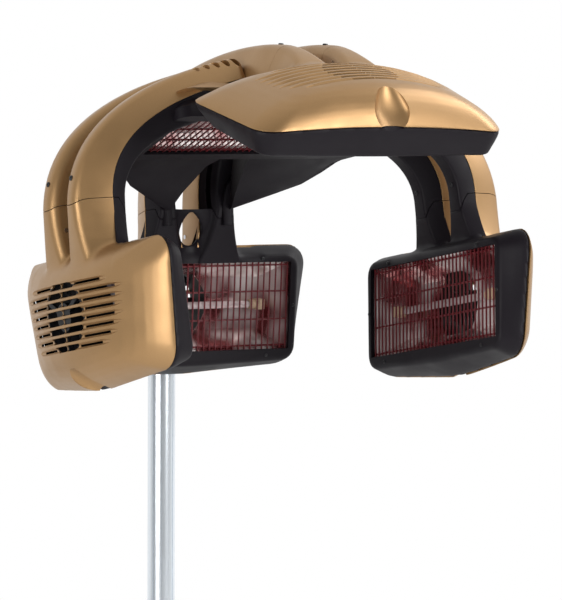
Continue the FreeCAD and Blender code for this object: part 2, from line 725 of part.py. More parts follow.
pins = []
for head_side in HEADINGS:
    frame = arm_frame(head_side)
    kind = KINDS[head_side]
    envelope = HUB_ENVELOPE.copy()
    envelope.transformShape(frame.inverse().multiply(CROWN).toMatrix(), True)
    liners = [largest(leg.cut(envelope)) for leg in ARMS[kind]["liner"]]
    feature(head_side + "_arm_cover", Part.makeCompound(ARMS[kind]["cover"]), frame)
    feature(head_side + "_arm_liner", Part.makeCompound(liners), frame)
    for leg, sign in (("near", -1), ("far", 1)):
        start = pin_point(kind) + V(sign * pin_middle() - size("pin_length") / 2, 0, 0)
        along_x = FreeCAD.Placement(start, FreeCAD.Rotation(Y_AXIS, 90))
        pins.append(cylinder("%s_%s_pin" % (head_side, leg), "Sizes.pin_diameter / 2",
                             "Sizes.pin_length", frame.multiply(along_x)))
publish(group("hinge_pin_set", pins), "hinge_pins")


# ---------------------------------------------------------------- column
# the tube's top seats in the rear head's socket, and its foot carries a guide bush
tube_top = socket_low(head_frame("rear", "rear")) + size("socket_depth") - size("socket_wall")
tube_low = tube_top - size("tube_length")
tube_radius = "Sizes.tube_diameter / 2"
hole_radius = "Sizes.tube_diameter / 2 - Sizes.tube_wall"
grooves = []
for quarter in range(int(size("tube_flutes")) // 2):
    for sign in (-1, 1):
        turn = FreeCAD.Placement(V(), FreeCAD.Rotation(
            Z_AXIS, 45 + 90 * quarter + sign * size("flute_spread")))
        start = turn.multiply(at(size("tube_diameter") / 2 - size("flute_depth"),
                                 -size("flute_width") / 2,
                                 tube_low + size("bush_height") + size("flute_clear")))
        grooves.append(box("groove_%d" % (len(grooves) + 1), "Sizes.flute_depth * 2",
                           "Sizes.flute_width",
                           "Sizes.tube_length - Sizes.bush_height - Sizes.flute_clear"
                           " - Sizes.socket_depth + Sizes.socket_wall", start))
tube = cut("tube_fluted",
           cut("tube_bored",
               cylinder("tube_solid", tube_radius, "Sizes.tube_length", at(z=tube_low)),
               cylinder("tube_hole", hole_radius, "Sizes.tube_length - 2 * Sizes.tube_wall",
                        at(z=tube_low))),
           group("groove_set", grooves))
publish(tube, "column_tube")
publish(cut("bush_bored",
            cylinder("bush_solid", "Sizes.outer_diameter / 2 - Sizes.outer_wall"
                     " - Sizes.bush_clearance", "Sizes.bush_height", at(z=tube_low)),
            cylinder("bush_hole", tube_radius + " + Sizes.pin_clearance", "Sizes.bush_height",
                     at(z=tube_low))), "guide_bush")

outer = cut("outer_column",
            cylinder("outer_solid", "Sizes.outer_diameter / 2", "Sizes.outer_top - Sizes.hub_bottom",
                     z="Sizes.hub_bottom"),
            cylinder("outer_hole", "Sizes.outer_diameter / 2 - Sizes.outer_wall",
                     "Sizes.outer_top - Sizes.hub_bottom", z="Sizes.hub_bottom"))
publish(outer, "outer_column")

collar_low = "Sizes.outer_top - Sizes.collar_lap"
collar_tall = "Sizes.collar_height + Sizes.collar_lap"
knob_level = "Sizes.outer_top + Sizes.collar_height / 2"
sideways = at(axis=Y_AXIS, angle=90)
collar = cut("collar_bored",
             cylinder("collar_solid", "Sizes.collar_diameter / 2", collar_tall, z=collar_low),
             fuse("collar_tools", [
                 cylinder("collar_seat", "Sizes.outer_diameter / 2 + Sizes.pin_clearance",
                          "Sizes.collar_lap", z=collar_low),
                 cylinder("collar_bore", "Sizes.tube_diameter / 2 + Sizes.pin_clearance",
                          collar_tall, z=collar_low),
                 cylinder("collar_thread", "Sizes.stud_diameter / 2 + Sizes.pin_clearance",
                          "Sizes.collar_diameter / 2", sideways, z=knob_level),
             ]))
publish(collar, "column_collar")

# a fluted hand knob on a stud that runs along +X into the collar
flutes = []
for lobe in range(int(size("knob_lobes"))):
    turn = math.radians(lobe * 360.0 / size("knob_lobes"))
    off = "(Sizes.knob_diameter / 2 + Sizes.knob_flute_out) * %.6f"
    flutes.append(cylinder("flute_%d" % (lobe + 1), "Sizes.knob_flute / 2", "Sizes.knob_length",
                           sideways, x="Sizes.collar_diameter / 2 + Sizes.knob_gap",
                           y=off % math.cos(turn), z=knob_level + " + " + off % math.sin(turn)))
knob = cut("knob_fluted",
           cylinder("knob_solid", "Sizes.knob_diameter / 2", "Sizes.knob_length", sideways,
                    x="Sizes.collar_diameter / 2 + Sizes.knob_gap", z=knob_level),
           group("flute_set", flutes))
stud = cylinder("knob_stud", "Sizes.stud_diameter / 2",
                "Sizes.collar_diameter / 2 + Sizes.knob_gap + Sizes.stud_seat"
                " - Sizes.tube_diameter / 2 - Sizes.stud_clearance", sideways,
                x="Sizes.tube_diameter / 2 + Sizes.stud_clearance", z=knob_level)
publish(fuse("knob_on_stud", [knob, stud]), "clamp_knob")


# ---------------------------------------------------------------- base and castors
def base_star():
    """Cast star: hub with a seat for the column, five tapered legs, castor bosses."""
    low, tall = size("hub_bottom"), size("hub_tall")
    hub = Part.makeCylinder(size("hub_radius"), tall, V(0, 0, low - 12), Z_AXIS)
    reach = size("leg_radius")
    leg_w0, leg_w1 = size("leg_root_width") / 2, size("leg_tip_width") / 2
    h0, h1 = size("leg_root_height"), size("leg_tip_height")
    pieces = []
    for i in range(int(size("leg_count"))):
        def ring(x, half, z0, z1):
            spots = [V(x, -half, z0), V(x, half, z0), V(x, half * 0.7, z1), V(x, -half * 0.7, z1)]
            return Part.makePolygon(spots + spots[:1])
        leg = Part.makeLoft([ring(10, leg_w0, low, low + h0),
                             ring(reach, leg_w1, low, low + h1)], True, True)
        boss = Part.makeCylinder(size("boss_radius"), size("boss_height"), V(reach, 0, low), Z_AXIS)
        leg = leg.fuse(boss).cut(Part.makeCylinder(size("stem_diameter") / 2 + size("castor_clearance"),
                                                   size("stem_length"), V(reach, 0, low), Z_AXIS))
        leg.rotate(V(), Z_AXIS, leg_angle(i))
        pieces.append(leg)
    star = hub.multiFuse(pieces)
    return star.cut(Part.makeCylinder(size("outer_diameter") / 2 + size("pin_clearance"), tall,
                                      V(0, 0, low), Z_AXIS))


def leg_angle(i):
    return -90 + i * 360.0 / size("leg_count")


feature("base_star", base_star())


def castor_wheels():
    radius, width, gap = size("wheel_diameter") / 2, size("wheel_width"), size("wheel_gap") / 2
    axle = Part.makeCylinder(size("axle_diameter") / 2, 2 * gap + 2, V(0, -gap - 1, 0), Y_AXIS)
    wheels = []
    for y in (-gap - width, gap):
        wheel = Part.makeCylinder(radius, width, V(0, y, 0), Y_AXIS)
        rims = [edge for edge in wheel.Edges if edge.Closed]
        wheels.append(wheel.makeFillet(3, rims))
    return axle.multiFuse(wheels)


def castor_housing():
    """Plate between the wheels, with the axle's bore and the swivel stem."""
    radius, half = size("housing_radius"), size("housing_thick") / 2
    rise = size("castor_height") - size("wheel_diameter") / 2
    trail = size("castor_trail")
    disc = Part.makeCylinder(radius, 2 * half, V(0, -half, 0), Y_AXIS)
    web = block(-trail - 10, 6, -half, half, 0, rise)
    web = web.cut(Part.makeCylinder(rise, 4 * half, V(radius + 22, -2 * half, rise), Y_AXIS))
    stem = Part.makeCylinder(size("stem_diameter") / 2, size("stem_length") - 0.3 + 4,
                             V(-trail, 0, rise - 0.3), Z_AXIS)
    bore = Part.makeCylinder(size("axle_diameter") / 2 + size("castor_clearance"), 4 * half,
                             V(0, -2 * half, 0), Y_AXIS)
    return disc.fuse(web).fuse(stem).cut(bore)


WHEELS, HOUSING = castor_wheels(), castor_housing()
for number in range(int(size("leg_count"))):
    turn = FreeCAD.Placement(V(), FreeCAD.Rotation(Z_AXIS, leg_angle(number)))
    spot = turn.multiply(at(size("leg_radius") + size("castor_trail"), 0, size("wheel_diameter") / 2))
    feature("castor_%d_housing" % (number + 1), HOUSING, spot)
    feature("castor_%d_wheels" % (number + 1), WHEELS, spot)


# ---------------------------------------------------------------- control box
def panel_frame():
    return at(0, size("outer_diameter") / 2 + size("panel_depth"), size("panel_up"), X_AXIS,
              size("panel_lean"))


def inlet_block(grow=0.0):
    """Outer form of the mains inlet in the box's underside, in the box's frame."""
    half, deep = size("inlet_width") / 2 + grow, size("inlet_height") / 2 + grow
    middle, floor = -size("panel_depth") / 2, -size("panel_height") / 2
    return block(-half, half, middle - deep, middle + deep, floor - size("inlet_proud") - grow,
                 floor - size("inlet_proud") + size("inlet_depth") + grow)


def mains_inlet():
    """Appliance inlet: a sunk housing with an open well and three flat contacts."""
    half = size("inlet_width") / 2 - size("inlet_wall")
    deep = size("inlet_height") / 2 - size("inlet_rim")
    middle = -size("panel_depth") / 2
    mouth = -size("panel_height") / 2 - size("inlet_proud")
    roof = mouth + size("inlet_well_depth")
    body = inlet_block().cut(block(-half, half, middle - deep, middle + deep, mouth, roof))
    for i in (-1, 0, 1):
        across, tall = i * size("contact_pitch"), size("contact_height") / 2
        body = body.fuse(block(across - size("contact_thick") / 2, across + size("contact_thick") / 2,
                               middle - tall, middle + tall,
                               roof + size("contact_root") - size("contact_length"),
                               roof + size("contact_root")))
    return body


def control_panel():
    """Control box on the back of the outer column, with a spindle for the timer knob."""
    half, tall, deep = size("panel_width") / 2, size("panel_height") / 2, size("panel_depth")
    body = block(-half, half, -deep, 0, -tall, tall)
    upright = [edge for edge in body.Edges if abs(edge.tangentAt(edge.FirstParameter).y) > 0.9]
    body = body.makeFillet(size("panel_corner"), upright)
    clamp_half, margin = size("clamp_half_width"), size("clamp_margin")
    clamp = block(-clamp_half, clamp_half, -deep - size("clamp_depth"), -deep + 1,
                  -tall + margin, tall - margin)
    body = body.fuse(clamp)
    spindle = Part.makeCylinder(size("timer_spindle") / 2, size("spindle_length") + 1,
                                V(0, -1, size("timer_up")), Y_AXIS)
    tube = Part.makeCylinder(size("outer_diameter") / 2 + size("pin_clearance"), 600,
                             V(0, 0, 0), Z_AXIS)
    tube.translate(V(0, 0, size("panel_up") - 300))
    tube.transformShape(panel_frame().inverse().toMatrix(), True)
    return body.fuse(spindle).cut(tube).cut(inlet_block(size("pin_clearance")))


# the box and the inlet in its underside are two solids of one node
feature("control_panel", Part.makeCompound([largest(control_panel()), mains_inlet()]), panel_frame())

# the timer knob: a skirted disc with a bevelled face, bored for the box's spindle
outwards = panel_frame().multiply(at(0, size("timer_gap"), size("timer_up"), X_AXIS, -90))
face = outwards.multiply(at(z=size("timer_length") - size("timer_bevel")))
knob_disc = fuse("timer_disc", [
    cylinder("timer_solid", "Sizes.timer_diameter / 2", "Sizes.timer_length - Sizes.timer_bevel",
             outwards),
    primitive("Cone", "timer_face", face, Radius1="Sizes.timer_diameter / 2",
              Radius2="Sizes.timer_diameter / 2 - Sizes.timer_bevel",
              Height="Sizes.timer_bevel")])
publish(cut("timer_bored", knob_disc,
            cylinder("timer_bore", "Sizes.timer_spindle / 2 + Sizes.pin_clearance",
                     "Sizes.spindle_length + Sizes.timer_gap", outwards)), "timer_knob")

# ---------------------------------------------------------------- check and write
doc.recompute()
for obj in doc.Objects:
    if "Invalid" in obj.State or "Error" in obj.State:
        raise RuntimeError("failed object: " + obj.Label)
os.makedirs("parts", exist_ok=True)
for obj in SUBPARTS:
    if obj.Shape.isNull() or not obj.Shape.isValid():
        raise RuntimeError("bad shape: " + obj.Label)
for obj in SUBPARTS:
    obj.Shape.exportStep("parts/%s.step" % obj.Label)
print("wrote", len(SUBPARTS), "sub-parts")
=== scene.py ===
"""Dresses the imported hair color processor: shells, guards, lamps, arms, hub and stand.

Shapes are worked out in millimetres in the frame of the sub-assembly that they belong to.
A Layout matrix then puts them, in metres, in the row frame: origin on the floor below the
column, +Z up, the client towards -Y.
"""
import logging
import math
from dataclasses import dataclass, field
from enum import Enum
from typing import Iterable, Sequence

import bmesh
import bpy
from mathutils import Matrix, Vector


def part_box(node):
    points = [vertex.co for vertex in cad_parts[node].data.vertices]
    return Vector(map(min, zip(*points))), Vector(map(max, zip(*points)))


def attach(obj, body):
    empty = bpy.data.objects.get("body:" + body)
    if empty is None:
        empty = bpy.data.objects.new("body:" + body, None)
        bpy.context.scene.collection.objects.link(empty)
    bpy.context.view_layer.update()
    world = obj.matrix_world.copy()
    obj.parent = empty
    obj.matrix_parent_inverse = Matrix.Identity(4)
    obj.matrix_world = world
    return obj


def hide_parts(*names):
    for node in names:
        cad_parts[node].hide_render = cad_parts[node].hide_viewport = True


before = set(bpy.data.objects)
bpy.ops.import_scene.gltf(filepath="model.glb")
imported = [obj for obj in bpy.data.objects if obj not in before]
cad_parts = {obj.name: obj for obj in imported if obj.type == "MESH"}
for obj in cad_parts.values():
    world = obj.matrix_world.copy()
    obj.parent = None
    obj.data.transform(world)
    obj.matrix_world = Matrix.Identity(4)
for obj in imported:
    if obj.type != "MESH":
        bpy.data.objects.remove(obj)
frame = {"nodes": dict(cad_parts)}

LOG = logging.getLogger("processor")
METRES = Matrix.Scale(0.001, 4)
CUT_ATTEMPTS = (("EXACT", 0.0), ("FAST", 0.0), ("EXACT", 0.02), ("FAST", 0.02))
Ring = list[Vector]
Corner = tuple[float, float, float]


# ------------------------------------------------------------------ layout of the hood
class Side(Enum):
    """The four heads, by where they stand round the client's head."""
    REAR = "rear"
    LEFT = "left"
    FRONT = "front"
    RIGHT = "right"

    @property
    def heading(self) -> float:
        """Turn of the arm's frame about the hood's upright axis, in degrees."""
        return {"rear": 0.0, "left": 90.0, "front": 180.0, "right": 270.0}[self.value]

    @property
    def head_body(self) -> str:
        """The CAD body that this side's head moves with."""
        return "mast" if self is Side.REAR else self.value + "_head"


@dataclass(frozen=True)
class ArmForm:
    """One kind of arm: Bezier poles (out, up), depths below the outer curve, head place.

    Attributes:
        poles: (out, up) poles of the cover's outer curve, from the root to the hub.
        cover: depth of the cover at the root and at the hub.
        liner: depth of the liner at the root and at the hub.
        turn: angle of the outward normal at the root and at the hub, in degrees.
        offset: how far out the head stands.
        drop: how far the head hangs below the hood's origin.
        lean: how far the head leans, in degrees.
        neck: length of the neck inside the head.
        kick: how far the liner's neck turns away from the client.
        dive: how far the cover's neck turns towards the client.
        nose: length of the cover's rounded end at the hub.
        pin_inset: how far the knuckle's pin lies in from the arm's root.
        pin_drop: how far it lies below the root.
    """
    poles: tuple[tuple[float, float], ...]
    cover: tuple[float, float]
    liner: tuple[float, float]
    turn: tuple[float, float]
    offset: float
    drop: float
    lean: float
    neck: float = 70.0
    kick: float = 8.0
    dive: float = 0.0
    nose: float = 0.0
    pin_inset: float = 18.0
    pin_drop: float = 29.0

    def curve(self, extra: int) -> list[Vector]:
        """Poles of the outer (0), seam (1) or inner (2) curve.

        Args:
            extra: which of the three curves.

        Returns:
            Four poles as (out, up) vectors.
        """
        rows = []
        for i, (out, up) in enumerate(self.poles):
            angle = math.radians(self.turn[0] + (self.turn[1] - self.turn[0]) * i / 3)
            depth = 0.0 if extra == 0 else self.cover[0] + (self.cover[1] - self.cover[0]) * i / 3
            depth += self.liner[0] + (self.liner[1] - self.liner[0]) * i / 3 if extra == 2 else 0.0
            rows.append(Vector((out - depth * math.cos(angle), up - depth * math.sin(angle))))
        return rows

    @property
    def inward(self) -> Vector:
        """Unit vector (out, up) from the outer face towards the client, at the root."""
        angle = math.radians(self.turn[0])
        return Vector((-math.cos(angle), -math.sin(angle)))

    @property
    def hubward(self) -> Vector:
        """Unit vector (out, up) along the arm towards the hub, at the root."""
        angle = math.radians(self.turn[0])
        return Vector((-math.sin(angle), math.cos(angle)))

    @property
    def pin(self) -> Vector:
        """The knuckle pin's (out, up)."""
        root = Vector(self.poles[0])
        return root + self.inward * self.pin_inset - self.hubward * self.pin_drop


SIDE_ARM = ArmForm(((308, -108), (300, -12), (208, 45), (71, 71)), (46, 30), (21, 40), (0, 90),
                   222.7, 240, 4.4, dive=10, nose=14)
REAR_ARM = ArmForm(((292, -91), (284, -5), (215, 66), (118, 83)), (58, 40), (27, 27), (0, 90),
                   249.1, 216.8, -12.3, kick=28, dive=8)
FRONT_ARM = ArmForm(((122, 75), (60, 90), (-40, 93), (-118, 83)), (45, 40), (19, 19), (73.7, 90),
                    198, 54, -66, kick=0, dive=30)
ARM_OF = {Side.LEFT: SIDE_ARM, Side.RIGHT: SIDE_ARM, Side.REAR: REAR_ARM, Side.FRONT: FRONT_ARM}


@dataclass(frozen=True)
class Layout:
    """Where the hood stands in the row frame."""
    hub_height: float = 1420.0
    setback: float = 289.3
    lean: float = 8.7

    def hood(self) -> Matrix:
        """Hood frame to row frame, in millimetres."""
        return (Matrix.Translation((0, -self.setback, self.hub_height))
                @ Matrix.Rotation(math.radians(-self.lean), 4, "X"))

    def arm(self, side: Side) -> Matrix:
        """Arm frame (x across, y outwards, z up) to row frame, in millimetres."""
        return self.hood() @ Matrix.Rotation(math.radians(side.heading), 4, "Z")

    def head(self, side: Side) -> Matrix:
        """Head frame (face at y = 0, y away from the client) to row frame, in millimetres."""
        form = ARM_OF[side]
        return (self.arm(side) @ Matrix.Translation((0, form.offset, -form.drop))
                @ Matrix.Rotation(math.radians(-form.lean), 4, "X"))

    def crown(self) -> Matrix:
        """Crown heater's frame (y up out of the hub) to row frame, in millimetres."""
        return (self.arm(Side.REAR) @ Matrix.Translation((0, 0, -24.5))
                @ Matrix.Rotation(math.radians(77.3), 4, "X"))

    def arm_in_head(self, side: Side) -> Matrix:
        """Arm frame to head frame."""
        return self.head(side).inverted() @ self.arm(side)


LAYOUT = Layout()


# ------------------------------------------------------------------ finishes
class Sketch:
    """Nodes of one material, added and linked in a few words."""

    def __init__(self, name: str) -> None:
        """Starts a material with a Principled shader and Object coordinates."""
        self.material = bpy.data.materials.new(name)
        self.material.use_nodes = True
        self.tree = self.material.node_tree
        self.shader = next(n for n in self.tree.nodes if n.type == "BSDF_PRINCIPLED")
        self.place = self.tree.nodes.new("ShaderNodeTexCoord").outputs["Object"]

    def add(self, kind: str, **sockets: object) -> bpy.types.Node:
        """Adds a ShaderNode of that kind and sets its inputs.

        Args:
            kind: the node's type without its ShaderNode prefix.
            **sockets: input names, with _ for a space, and their values or links.

        Returns:
            The new node.
        """
        node = self.tree.nodes.new("ShaderNode" + kind)
        self.feed(node, **sockets)
        return node

    def feed(self, node: bpy.types.Node, **sockets: object) -> None:
        """Sets or links inputs of a node, named with _ for a space."""
        for name, value in sockets.items():
            socket = node.inputs[name.replace("_", " ")]
            if isinstance(value, bpy.types.NodeSocket):
                self.tree.links.new(value, socket)
            else:
                socket.default_value = value

    def noise(self, scale: float, detail: float = 3.0,
              stretch: tuple[float, float, float] = (1, 1, 1)) -> bpy.types.NodeSocket:
        """A noise field on the piece, stretched along its axes."""
        mapping = self.add("Mapping", Vector=self.place, Scale=stretch)
        return self.add("TexNoise", Vector=mapping.outputs[0], Scale=scale,
                        Detail=detail).outputs["Fac"]

    def blend(self, amount: bpy.types.NodeSocket, low: Sequence[float],
              high: Sequence[float]) -> bpy.types.NodeSocket:
        """A colour that runs from low to high as the field goes from 0.35 to 0.65."""
        ramp = self.add("ValToRGB", Fac=amount)
        ramp.color_ramp.elements[0].position, ramp.color_ramp.elements[1].position = 0.35, 0.65
        ramp.color_ramp.elements[0].color = (*low, 1)
        ramp.color_ramp.elements[1].color = (*high, 1)
        return ramp.outputs["Color"]

    def span(self, amount: bpy.types.NodeSocket, low: float, high: float) -> bpy.types.NodeSocket:
        """A number that runs from low to high with a field."""
        node = self.add("MapRange", Value=amount)
        self.feed(node, From_Min=0.3, From_Max=0.7, To_Min=low, To_Max=high)
        return node.outputs["Result"]

    def relief(self, height: bpy.types.NodeSocket, strength: float, depth: float) -> None:
        """Bumps the surface by a field, depth in metres."""
        bump = self.add("Bump", Height=height, Strength=strength, Distance=depth)
        self.feed(self.shader, Normal=bump.outputs["Normal"])


    def pale_where_seen(self, level: float) -> None:
        """Lifts the surface towards white for the camera, mirrors and glass, not as a light."""
        path = self.add("LightPath")
        seen = path.outputs["Is Camera Ray"]
        for ray in ("Is Glossy Ray", "Is Transmission Ray"):
            either = self.add("Math")
            either.operation = "MAXIMUM"
            self.tree.links.new(seen, either.inputs[0])
            self.tree.links.new(path.outputs[ray], either.inputs[1])
            seen = either.outputs[0]
        lift = self.add("Math")
        lift.operation = "MULTIPLY"
        self.tree.links.new(seen, lift.inputs[0])
        lift.inputs[1].default_value = level
        self.feed(self.shader, Emission_Color=(1, 1, 1, 1), Emission_Strength=lift.outputs[0])


def tint(colour: Sequence[float], factor: float) -> tuple[float, ...]:
    """A colour made lighter or darker by a factor."""
    return tuple(min(1.0, c * factor) for c in colour)


@dataclass(frozen=True)
class Finish:
    """One surface finish, drawn as a procedural material.

    Attributes:
        slot: the record's material slot; not used.
        colour: linear base colour.
        mottle: share by which the colour varies.
        grain: features per metre of the fine relief.
        relief: height of the fine relief in metres.
    """
    name: str
    slot: str
    colour: tuple[float, float, float]
    roughness: float = 0.4
    metallic: float = 0.0
    mottle: float = 0.05
    grain: float = 900.0
    relief: float = 0.00002
    coat: float = 0.0
    coat_roughness: float = 0.2
    transmission: float = 0.0
    stretch: tuple[float, float, float] = (1.0, 1.0, 1.0)
    specular: float = 0.5

    def material(self) -> bpy.types.Material:
        """The finish's material, made once."""
        if self.name not in bpy.data.materials:
            self.draw(Sketch(self.name))
        return bpy.data.materials[self.name]

    def draw(self, sketch: Sketch) -> None:
        """Colour variation, roughness variation and fine relief."""
        fine = sketch.noise(self.grain, 2.0, self.stretch)
        broad = sketch.noise(self.grain / 60, 3.0, self.stretch)
        sketch.feed(sketch.shader, Metallic=self.metallic, Coat_Weight=self.coat,
                    Coat_Roughness=self.coat_roughness, Transmission_Weight=self.transmission,
                    Specular_IOR_Level=self.specular,
                    Base_Color=sketch.blend(fine, tint(self.colour, 1 - self.mottle),
                                            tint(self.colour, 1 + self.mottle)),
                    Roughness=sketch.span(broad, self.roughness * 0.88, self.roughness * 1.12))
        sketch.relief(fine, 0.6, self.relief)


GOLD = Finish("champagne_paint", "gold_paint", (0.36, 0.213, 0.092), 0.42, 0.75, 0.06, 1800,
              0.00001, coat=0.15, coat_roughness=0.4)
CHARCOAL = Finish("charcoal_moulding", "charcoal_plastic", (0.0085, 0.0066, 0.0092), 0.5, 0.0, 0.1,
                  1400, 0.00003, specular=0.13)
ENAMEL = Finish("red_wire_enamel", "guard_wire", (0.11, 0.004, 0.008), 0.34, 0.0, 0.15, 700,
                0.00003, coat=0.2)


@dataclass(frozen=True)
class SheetMirror(Finish):
    """Bright sheet behind red wires, with painted reflections: red patches and white patches spread
    by noise.

    Attributes:
        painted_wire_reflection: linear colour of the painted red reflection of the wires.
        reflection_patch: painted reflection patches per metre.
        edge: values of the field between which one colour runs into the other.
        haze: metallic share in the white painted-reflection patches.
    """
    painted_wire_reflection: tuple[float, float, float] = (0.3, 0.07, 0.075)
    reflection_patch: float = 16.0
    edge: tuple[float, float] = (0.42, 0.58)
    haze: float = 0.3

    def draw(self, sketch: Sketch) -> None:
        """Painted reflections in soft patches of two colours, and a slight ripple."""
        reflection_patches = sketch.noise(self.reflection_patch, 2.0, (1.0, 1.0, 0.6))
        ripple = sketch.noise(self.grain, 1.0)
        # painted reflections: red patches for the wires and white patches for bright surroundings,
        # laid by noise over the sheet
        ramp = sketch.add("ValToRGB", Fac=reflection_patches)
        low, high = ramp.color_ramp.elements
        low.position, high.position = self.edge
        low.color, high.color = (*self.painted_wire_reflection, 1), (*self.colour, 1)
        hazy = sketch.span(reflection_patches, self.metallic, self.haze)
        sketch.feed(sketch.shader, Metallic=hazy, Base_Color=ramp.outputs["Color"],
                    Roughness=sketch.span(ripple, self.roughness * 0.8, self.roughness * 1.3))
        sketch.relief(ripple, 0.5, self.relief)


# the reflector's red and white patches are painted reflections
MIRROR = SheetMirror("bright_reflector", "reflector", (0.95, 0.88, 0.86), 0.1, 1.0, 0.04, 22,
                     0.0010)
QUARTZ = Finish("frosted_quartz", "quartz", (0.9, 0.78, 0.78), 0.22, 0.0, 0.04, 400, 0.00002,
                transmission=0.55)
CERAMIC = Finish("lamp_ceramic", "quartz", (0.50, 0.36, 0.24), 0.6, 0.0, 0.12, 900, 0.00006)
FILAMENT = Finish("coil", "steel", (0.35, 0.3, 0.3), 0.4, 0.9, 0.5, 900, 0.0002)
FAN_BLACK = Finish("fan_black", "black_fan", (0.005, 0.005, 0.006), 0.5, 0.0, 0.1, 1200, 0.00003,
                   specular=0.2)
BRIGHT_TUBE = Finish("bright_anodised_tube", "bright_tube", (0.78, 0.83, 0.88), 0.2, 0.75, 0.05,
                     900, 0.00001, stretch=(1, 1, 0.02))
SATIN_TUBE = Finish("silver_powder_coat", "satin_tube", (0.42, 0.42, 0.44), 0.45, 0.35, 0.06,
                    1500, 0.00004)
STEEL = Finish("blackened_screw", "steel", (0.02, 0.02, 0.022), 0.4, 0.5, 0.1, 1500, 0.00002)
PLAIN_STEEL = Finish("turned_steel", "steel", (0.55, 0.55, 0.56), 0.25, 1.0, 0.05, 1200, 0.00001)
CAST = Finish("powder_coated_casting", "cast_base", (0.03, 0.03, 0.033), 0.5, 0.2, 0.12, 1100,
              0.00008)
NYLON = Finish("castor_nylon", "castor_black", (0.018, 0.018, 0.02), 0.4, 0.0, 0.1, 900, 0.00003)
MARKING = Finish("printed_marks", "charcoal_plastic", (0.62, 0.62, 0.6), 0.5, 0.0, 0.04, 2000,
                 0.00001)


# ------------------------------------------------------------------ mesh tools
def swept(rings: Sequence[Ring], capped: bool = True) -> bmesh.types.BMesh:
    """Extrudes a ring through a row of rings with as many points.

    Args:
        rings: the rings, first to last.
        capped: whether both ends are closed with a face.

    Returns:
        A new bmesh with outward faces.
    """
    bm = bmesh.new()
    ring = [bm.verts.new(point) for point in rings[0]]
    start = bm.faces.new(ring)
    edges = list(start.edges)
    for points in rings[1:]:
        grown = bmesh.ops.extrude_edge_only(bm, edges=edges)["geom"]
        fresh = {item for item in grown if isinstance(item, bmesh.types.BMVert)}
        ring = [next(e.other_vert(v) for e in v.link_edges if e.other_vert(v) in fresh)
                for v in ring]
        for vert, point in zip(ring, points):
            vert.co = point
        edges = [item for item in grown if isinstance(item, bmesh.types.BMEdge)
                 and item.verts[0] in fresh and item.verts[1] in fresh]
    if capped:
        bm.faces.new(ring)
    else:
        bmesh.ops.delete(bm, geom=[start], context="FACES_ONLY")
    bmesh.ops.recalc_face_normals(bm, faces=bm.faces)
    return bm


def joined(parts: Iterable[bmesh.types.BMesh]) -> bmesh.types.BMesh:
    """Several meshes in one, which are used up."""
    whole = bmesh.new()
    for part in parts:
        mesh = bpy.data.meshes.new("part")
        part.to_mesh(mesh)
        part.free()
        whole.from_mesh(mesh)
        bpy.data.meshes.remove(mesh)
    return whole


def mirrored(part: bmesh.types.BMesh) -> bmesh.types.BMesh:
    """The same mesh, mirrored across x = 0."""
    bmesh.ops.scale(part, vec=(-1, 1, 1), verts=part.verts)
    bmesh.ops.reverse_faces(part, faces=part.faces)
    return part


def mirrored_pair(part: bmesh.types.BMesh) -> bmesh.types.BMesh:
    """A part and its mirror image across x = 0."""
    twin = mirrored(part.copy())
    return joined([part, twin])


def moved(part: bmesh.types.BMesh, matrix: Matrix) -> bmesh.types.BMesh:
    """The same mesh, transformed in place."""
    bmesh.ops.transform(part, matrix=matrix, verts=part.verts)
    return part


def box(low: Sequence[float], high: Sequence[float], edge: float = 0.0) -> bmesh.types.BMesh:
    """A box between two corners, with its edges rounded if edge is given."""
    bm = bmesh.new()
    bmesh.ops.create_cube(bm, size=1)
    size = [b - a for a, b in zip(low, high)]
    middle = Matrix.Translation([(a + b) / 2 for a, b in zip(low, high)])
    moved(bm, middle @ Matrix.Diagonal((*size, 1)))
    if edge:
        bmesh.ops.bevel(bm, geom=bm.edges[:], offset=edge, segments=3, profile=0.5,
                        affect="EDGES", material=-1)
    return bm


def rod(start: Vector, end: Vector, radius: float, sides: int = 24,
        edge: float = 0.0) -> bmesh.types.BMesh:
    """A round bar between two points, with its rims rounded if edge is given."""
    bm = bmesh.new()
    along = end - start
    bmesh.ops.create_cone(bm, cap_ends=True, segments=sides, radius1=radius, radius2=radius,
                          depth=along.length)
    if edge:
        rims = [e for e in bm.edges if abs(e.verts[0].co.z - e.verts[1].co.z) < 1e-6]
        bmesh.ops.bevel(bm, geom=rims, offset=edge, segments=3, profile=0.5, affect="EDGES",
                        material=-1)
    turn = Vector((0, 0, 1)).rotation_difference(along).to_matrix().to_4x4()
    return moved(bm, Matrix.Translation((start + end) / 2) @ turn)


def evaluated(part: bmesh.types.BMesh, modifier: str, **settings: object) -> bmesh.types.BMesh:
    """A mesh after one modifier, with the first mesh used up."""
    mesh = bpy.data.meshes.new("work")
    part.to_mesh(mesh)
    part.free()
    holder = bpy.data.objects.new("work", mesh)
    bpy.context.scene.collection.objects.link(holder)
    step = holder.modifiers.new(modifier, modifier)
    for name, value in settings.items():
        setattr(step, name, value)
    graph = bpy.context.evaluated_depsgraph_get()
    result = bmesh.new()
    result.from_mesh(holder.evaluated_get(graph).data)
    bpy.data.objects.remove(holder)
    bpy.data.meshes.remove(mesh)
    return result


class Cut(Enum):
    """How one solid works on another."""
    AWAY = "DIFFERENCE"
    KEEP = "INTERSECT"
    JOIN = "UNION"


def solved(part: bmesh.types.BMesh, tool: bmesh.types.BMesh, how: Cut,
           solver: str) -> bmesh.types.BMesh:
    """One run of the boolean modifier. The part is used up."""
    mesh = bpy.data.meshes.new("tool")
    tool.to_mesh(mesh)
    holder = bpy.data.objects.new("tool", mesh)
    bpy.context.scene.collection.objects.link(holder)
    result = evaluated(part, "BOOLEAN", object=holder, operation=how.value, solver=solver)
    bpy.data.objects.remove(holder)
    bpy.data.meshes.remove(mesh)
    return result


